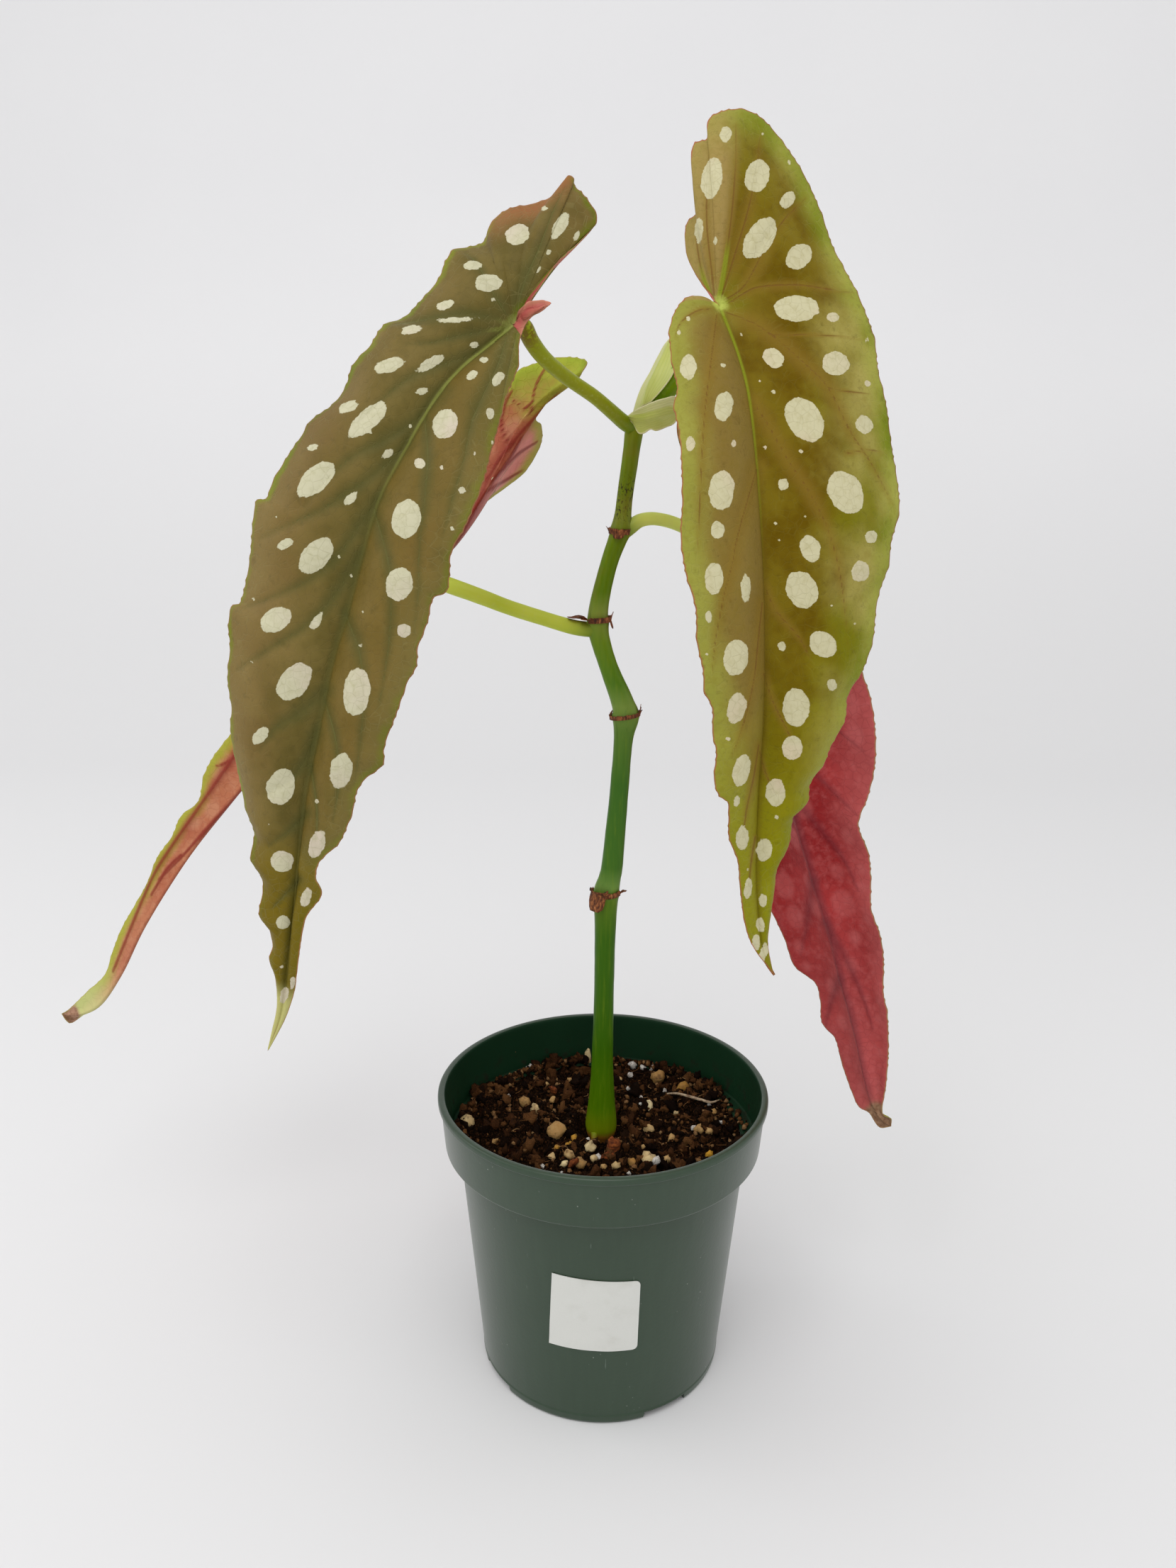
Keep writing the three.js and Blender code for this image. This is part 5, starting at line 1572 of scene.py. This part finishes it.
spots_b = [
    (1024, 189, 24, 16, 80), (1004, 252, 60, 29, 82), (1068, 248, 46, 34, 75), (1111, 282, 27, 18, 50),
    (1072, 336, 66, 37, 58), (1127, 362, 40, 32, 40), (986, 325, 36, 12, 88), (1009, 340, 10, 6, 90),
    (1124, 435, 63, 37, 0), (1175, 447, 18, 14, 0), (1061, 171, 6, 5, 0), (1074, 189, 5, 5, 0),
    (1114, 229, 7, 5, 90), (971, 518, 35, 23, 84), (971, 450, 6, 5, 90), (958, 470, 7, 4, 90),
    (1091, 505, 34, 26, -38), (1179, 513, 38, 34, 0), (1223, 480, 11, 6, 90), (1224, 541, 10, 8, 0),
    (1021, 573, 43, 25, 82), (1135, 592, 69, 48, -52), (1219, 599, 27, 23, -50), (974, 627, 23, 13, 90),
    (1035, 626, 9, 7, 90), (1018, 692, 58, 36, 84), (1105, 683, 17, 15, 90), (1193, 695, 64, 47, -60),
    (1073, 536, 6, 6, 0), (1089, 553, 7, 6, 0), (1044, 472, 6, 6, 0), (1020, 515, 7, 6, 0),
    (1077, 632, 6, 6, 0), (1130, 636, 6, 5, 0), (1012, 748, 25, 19, 90), (1007, 816, 44, 26, 86),
    (1052, 830, 39, 14, 88), (1143, 774, 40, 28, -72), (1229, 757, 18, 17, 0), (1214, 806, 30, 26, 80),
    (1131, 832, 54, 44, -65), (1000, 870, 16, 9, 90), (1038, 928, 52, 35, 84), (1161, 909, 42, 35, -40),
    (1103, 912, 14, 12, 90), (1174, 966, 16, 14, 90), (1039, 999, 43, 27, 74), (1123, 998, 55, 38, 90),
    (1118, 1055, 33, 29, 90), (1046, 1087, 46, 24, 74), (1094, 1118, 39, 28, 88), (1039, 1131, 15, 8, 80),
    (1047, 1182, 35, 18, 84), (1078, 1199, 33, 22, 84), (1096, 1152, 6, 6, 0), (1055, 1254, 28, 11, 84),
    (1076, 1270, 17, 12, 90), (1073, 1304, 21, 13, 90), (1067, 1329, 22, 11, 84), (1079, 1341, 20, 10, 90),
    (1074, 1353, 18, 9, 84), (1094, 737, 5, 5, 0), (1097, 762, 5, 5, 0), (1134, 730, 5, 5, 0),
    (1175, 853, 5, 5, 0), (1206, 879, 5, 5, 0), (998, 922, 5, 5, 0), (1027, 1043, 6, 5, 0),
    (1055, 1227, 5, 5, 0),
]
veins_b = [
    (3.0, 22, [(1012, 433), (1020, 387), (1027, 340), (1033, 290), (1038, 223), (1037, 175)]),
    (3.0, 0, [(1009, 424), (1003, 373), (998, 327), (997, 280), (1000, 220)]),
    (6.0, 0, [(1016, 424), (1036, 360), (1054, 300), (1066, 240), (1072, 190)]),
    (1.8, 13, [(1006, 422), (995, 397), (988, 370), (982, 330)]),
    (6.0, 0, [(1020, 425), (1046, 408), (1064, 380), (1084, 340), (1108, 308), (1136, 280)]),
    (3.6, 0, [(1023, 432), (1050, 414), (1073, 405), (1127, 403), (1173, 410), (1206, 414)]),
    (6.0, 0, [
        (1023, 441), (1063, 457), (1087, 473), (1127, 507), (1167, 547), (1197, 607), (1227, 653),
        (1258, 712),
    ]),
    (1.4, 0, [(1090, 474), (1130, 473), (1176, 475), (1236, 482)]),
    (1.4, 0, [(1167, 549), (1196, 553), (1228, 557)]),
    (5.4, 0, [(1062, 567), (1087, 607), (1113, 653), (1140, 693), (1167, 747), (1184, 810), (1194, 890)]),
    (1.6, 0, [(1194, 640), (1222, 636), (1250, 640)]),
    (3.6, 0, [(1078, 827), (1093, 860), (1127, 900), (1142, 930)]),
    (2.8, 0, [(1076, 950), (1090, 990), (1110, 1030), (1128, 1070)]),
    (1.6, 0, [(1070, 1060), (1082, 1096), (1098, 1130)]),
    (4.0, 0, [(1010, 446), (1003, 507), (995, 573), (990, 640), (987, 707), (983, 780)]),
    (2.0, 0, [(1004, 437), (983, 440), (960, 457), (951, 480)]),
    (5.6, 0, [(1067, 660), (1053, 707), (1037, 767), (1033, 793), (1020, 843), (1008, 910), (1003, 965)]),
    (4.4, 0, [(1074, 850), (1068, 905), (1062, 960), (1048, 1020), (1033, 1065)]),
    (2.6, 0, [(1069, 1050), (1062, 1095), (1052, 1143), (1046, 1195)]),
    (1.6, 0, [(1064, 1180), (1058, 1220), (1054, 1270)]),
]
plan_b = leaf_plan | {"bulge": 3.5, "groove": -0.35, "upper": -1, "tooth_step": 3.1}
paint_b = {
    "gloss": 0.05, "roughness": 0.44, "centre": rgb(98, 76, 0), "light": rgb(116, 98, 16),
    "dark": rgb(80, 62, 0), "green_reach": (0.5, 10), "far_reach": (12, 38), "far": rgb(116, 114, 8),
    "far_pale_and_sheen": rgb(168, 156, 84), "margin": rgb(110, 124, 2), "margin_pale_and_sheen": rgb(164, 164, 74),
    "slim": rgb(132, 110, 54), "slim_margin": rgb(152, 150, 66), "slim_strength": 0.85,
    "blush": rgb(160, 136, 80), "blush_start": (-1.2, -1.1), "blush_end": (-0.46, -0.38),
    "blush_edge": (50, 60), "blush_far": (-2, -1), "blush_strength": 0.85, "rib_shade_colour": rgb(102, 82, 14),
    "crown": rgb(160, 160, 74), "crown_reach": (36, 58), "tip": rgb(138, 136, 12),
    "tip_reach": (0.45, 0.8), "band": rgb(130, 104, 36), "band_strength": 0.7, "net": rgb(156, 150, 76),
    "thread": rgb(108, 70, 32), "thread_strength": 0.55, "rib": rgb(134, 144, 34), "rib_strength": 0.9,
    "rib_width": (0.5, 1.2), "rib_reach": (0.08, 0.42), "star": rgb(190, 200, 96),
    "point": rgb(142, 100, 60), "point_reach": (0.985, 0.995), "line": rgb(170, 86, 72),
    "roll": rgb(170, 86, 72), "roll_strength": 0.0, "spot": rgb(200, 194, 158),
    "spot_pink": rgb(206, 190, 162), "spot_shade": rgb(178, 170, 126),
}
hang_leaf(
    "b", outline_b, veins_b, front_fineness, plan_b,
    lambda points, values: spots_seen(points, spots_b),
    upper_finish("leaf_b_upper", paint_b), under_finish("leaf_b_under", paint_a_under),
)

# Leaf c, behind leaf a: it slopes down to the left with its underside out. The broad lobe folds
# forward at the top; the margin is yellow-green, and the tip is dry.
outline_c = {
    "midrib": [
        (600, 812, 8), (540, 890, 14), (460, 980, 20), (395, 1052, 24), (330, 1126, 27), (265, 1210, 30),
        (205, 1305, 32), (172, 1372, 34), (142, 1416, 35), (112, 1431, 36), (87, 1430, 36),
    ],
    "broad_lobe": [
        (622, 790, 8), (640, 720, 14), (665, 640, 20), (695, 570, 24), (727, 528, 26), (742, 518, 26),
        (762, 510, 26), (785, 505, 26), (805, 505, 25), (819, 506, 23), (828, 511, 21), (820, 527, 19),
        (802, 545, 20), (778, 562, 20), (754, 586, 20), (762, 600, 25), (765, 617, 29), (761, 634, 32),
        (741, 663, 34), (713, 687, 34), (684, 711, 33), (664, 728, 33),
    ],
    "broad_side": [
        (635, 765, 34), (580, 820, 42), (510, 890, 52), (435, 970, 60), (365, 1055, 64), (300, 1130, 66),
        (245, 1205, 64), (195, 1290, 56), (154, 1368, 48), (140, 1416, 42), (120, 1430, 39),
        (101, 1443, 37), (92, 1438, 36),
    ],
    "slim_lobe": [(600, 806, 8), (585, 790, 8), (560, 790, 10), (520, 815, 12)],
    "slim_side": [
        (470, 860, 16), (415, 925, 20), (365, 985, 24), (330, 1030, 26), (303, 1065, 28), (288, 1095, 29),
        (280, 1130, 30), (255, 1152, 31), (243, 1180, 32), (222, 1210, 33), (208, 1245, 34),
        (190, 1278, 35), (172, 1310, 36), (158, 1345, 36), (148, 1375, 36), (122, 1400, 36), (98, 1423, 36),
    ],
}
# The first course runs along the fold of the lobe: its wide dark band is painted shade beside the ridge as
# well as a vein
veins_c = [
    (5.0, 0, [
        (608, 816), (650, 755), (676, 706), (700, 655), (728, 618), (754, 588), (775, 566), (797, 545),
    ]),
    (0.9, 0, [(749, 582), (752, 562), (757, 542), (768, 522), (776, 512)]),
    (1.6, 0, [(693, 679), (706, 664), (731, 639), (758, 622)]),
    (1.4, 0, [(708, 662), (722, 640), (738, 611)]),
    (1.4, 0, [(672, 706), (690, 690), (714, 676), (738, 662)]),
    (1.2, 0, [(749, 580), (734, 572), (722, 564)]),
    (1.6, 0, [(722, 632), (708, 604), (712, 572), (724, 548)]),
    (1.2, 0, [(694, 690), (680, 655), (682, 612)]),
    (2.4, 0, [(608, 816), (600, 760), (625, 690), (660, 620), (700, 560)]),
    (2.0, 0, [(540, 890), (480, 920), (420, 985)]), (2.0, 0, [(460, 980), (400, 1010), (345, 1075)]),
    (2.0, 0, [(540, 890), (490, 880), (440, 905)]), (2.0, 0, [(460, 980), (415, 975), (370, 985)]),
    (2.4, 0, [(350, 1045), (332, 1065), (280, 1140), (235, 1205), (210, 1250), (160, 1370)]),
    (1.4, 0, [(352, 1100), (337, 1120), (300, 1160), (260, 1205), (225, 1240)]),
    (1.0, 0, [(326, 1072), (314, 1078), (306, 1080)]), (1.0, 0, [(256, 1206), (236, 1226), (214, 1262)]),
]
# The sway moves the folded lobe sideways, in millimetres at each point of its margin
plan_c = leaf_plan | {
    "bulge": 0.6, "pillow": 0.35, "ripple": 0.3, "tooth_step": 3.7, "folded": (1, 0.02),
    "sway": [0] * 9 + [1, 3, 7, 5, 2, 0, 1, 3, 4, 4, 3.5, 2.5, 0],
}
paint_c_under = {
    "gloss": 0.12, "deep": rgb(172, 94, 68), "flesh": rgb(182, 114, 80), "pale": rgb(206, 154, 120),
    "lobe": rgb(230, 150, 140), "vein": rgb(132, 44, 34), "rib": rgb(150, 76, 60), "rib_width": 1.4,
    "rib_strength": 0.5, "margin": rgb(160, 172, 50), "margin_reach": (0.9, 5.2), "margin_strength": 0.8,
    "green_heights": (300, 326), "green": rgb(112, 142, 4), "pale_reach": (0.6, 1.1), "sheen_side": 0,
    "dry": (0.962, 0.972), "tip": rgb(200, 206, 138), "tip_reach": (0.85, 0.96),
    "dry_tip": rgb(176, 136, 112), "line": rgb(170, 160, 84), "soft_strength": 0.68, "thin_strength": 0.65,
}
hang_leaf(
    "c", outline_c, veins_c, rear_fineness, plan_c,
    lambda points, values: spots_scattered(points, values, 3),
    upper_finish("leaf_c_upper", paint_b), under_finish("leaf_c_under", paint_c_under),
)

# Leaf d, behind leaf b: it hangs straight down with its wine-red underside out and a dry curled tip.
outline_d = {
    "midrib": [
        (1038, 800, 22), (1062, 900, 26), (1090, 1020, 30), (1121, 1150, 33), (1147, 1240, 34),
        (1173, 1325, 34), (1187, 1386, 34), (1203, 1443, 33), (1221, 1525, 31), (1234, 1564, 30),
        (1245, 1580, 29), (1257, 1589, 28),
    ],
    "broad_lobe": [
        (1028, 788, 22), (1012, 745, 22), (985, 690, 18), (962, 640, 15), (956, 605, 15), (965, 578, 17),
        (990, 558, 21), (1020, 556, 26), (1045, 580, 32), (1040, 640, 42), (1020, 700, 50), (1010, 760, 56),
    ],
    "broad_side": [
        (1008, 830, 60), (1012, 900, 62), (1022, 980, 64), (1035, 1050, 64), (1045, 1120, 62),
        (1062, 1190, 59), (1075, 1240, 56), (1088, 1284, 53), (1108, 1330, 50), (1121, 1362, 48),
        (1150, 1385, 46), (1157, 1410, 45), (1159, 1443, 44), (1178, 1465, 42), (1187, 1495, 41),
        (1200, 1535, 37), (1211, 1561, 34), (1226, 1570, 32), (1240, 1590, 30),
    ],
    "slim_lobe": [(1044, 790, 22), (1062, 775, 20), (1095, 765, 18), (1135, 775, 17), (1170, 810, 17)],
    "slim_side": [
        (1195, 870, 18), (1213, 940, 20), (1228, 985, 21), (1235, 1035, 22), (1234, 1080, 22),
        (1224, 1125, 23), (1211, 1162, 24), (1225, 1202, 24), (1228, 1240, 24), (1229, 1283, 25),
        (1241, 1315, 25), (1246, 1350, 26), (1246, 1400, 26), (1252, 1430, 26), (1253, 1480, 27),
        (1250, 1530, 28), (1245, 1560, 29), (1246, 1573, 28), (1257, 1578, 27),
    ],
}
veins_d = [
    (3.0, 0, [(1038, 800), (1010, 720), (985, 650), (975, 600)]),
    (3.0, 0, [(1038, 800), (1020, 700), (1010, 620), (1015, 570)]),
    (2.4, 0, [(1038, 800), (1080, 780), (1130, 785)]),
    (3.0, 0, [(1040, 830), (1100, 860), (1150, 900), (1200, 960)]),
    (3.0, 0, [(1062, 900), (1110, 960), (1160, 1010), (1220, 1060)]),
    (3.0, 0, [(1090, 1020), (1130, 1070), (1170, 1110), (1210, 1150)]),
    (3.0, 0, [(1118, 1120), (1145, 1155), (1189, 1209), (1212, 1256)]),
    (2.6, 0, [(1165, 1300), (1190, 1345), (1214, 1396), (1232, 1450)]),
    (2.4, 0, [(1038, 810), (1022, 860), (1018, 930)]),
    (2.4, 0, [(1062, 900), (1040, 960), (1032, 1030)]),
    (2.6, 0, [(1090, 1020), (1066, 1070), (1054, 1130)]),
    (2.6, 0, [(1121, 1150), (1100, 1195), (1090, 1260)]),
    (3.0, 0, [(1147, 1240), (1140, 1300), (1130, 1345)]),
    (2.6, 0, [(1185, 1380), (1172, 1418), (1164, 1450)]),
]
plan_d = leaf_plan | {
    "bulge": 2.5, "pillow": 0.6, "ripple": 0.4, "groove": 0.15, "upper": -1, "tooth_step": 3.3,
}
paint_d_under = {
    "gloss": 0.15, "deep": rgb(146, 26, 28), "flesh": rgb(170, 44, 44), "pale": rgb(202, 108, 106),
    "lobe": rgb(170, 60, 60), "vein": rgb(108, 38, 46), "rib": rgb(120, 50, 56), "rib_width": 3.4,
    "rib_strength": 0.65, "margin": rgb(158, 120, 66), "margin_reach": (-1.4, 0.6), "margin_strength": 0.6,
    "green_heights": above_all, "green": rgb(150, 160, 60), "pale_reach": (0.45, 1.0), "sheen_side": -1,
    "dry": (0.94, 0.952), "tip": rgb(192, 106, 96), "tip_reach": (0.9, 1.0), "dry_tip": rgb(160, 126, 98),
    "line": rgb(170, 136, 90), "soft_strength": 0.45, "thin_strength": 0.12,
}
hang_leaf(
    "d", outline_d, veins_d, rear_fineness, plan_d,
    lambda points, values: spots_scattered(points, values, 9),
    upper_finish("leaf_d_upper", paint_b), under_finish("leaf_d_under", paint_d_under),
)
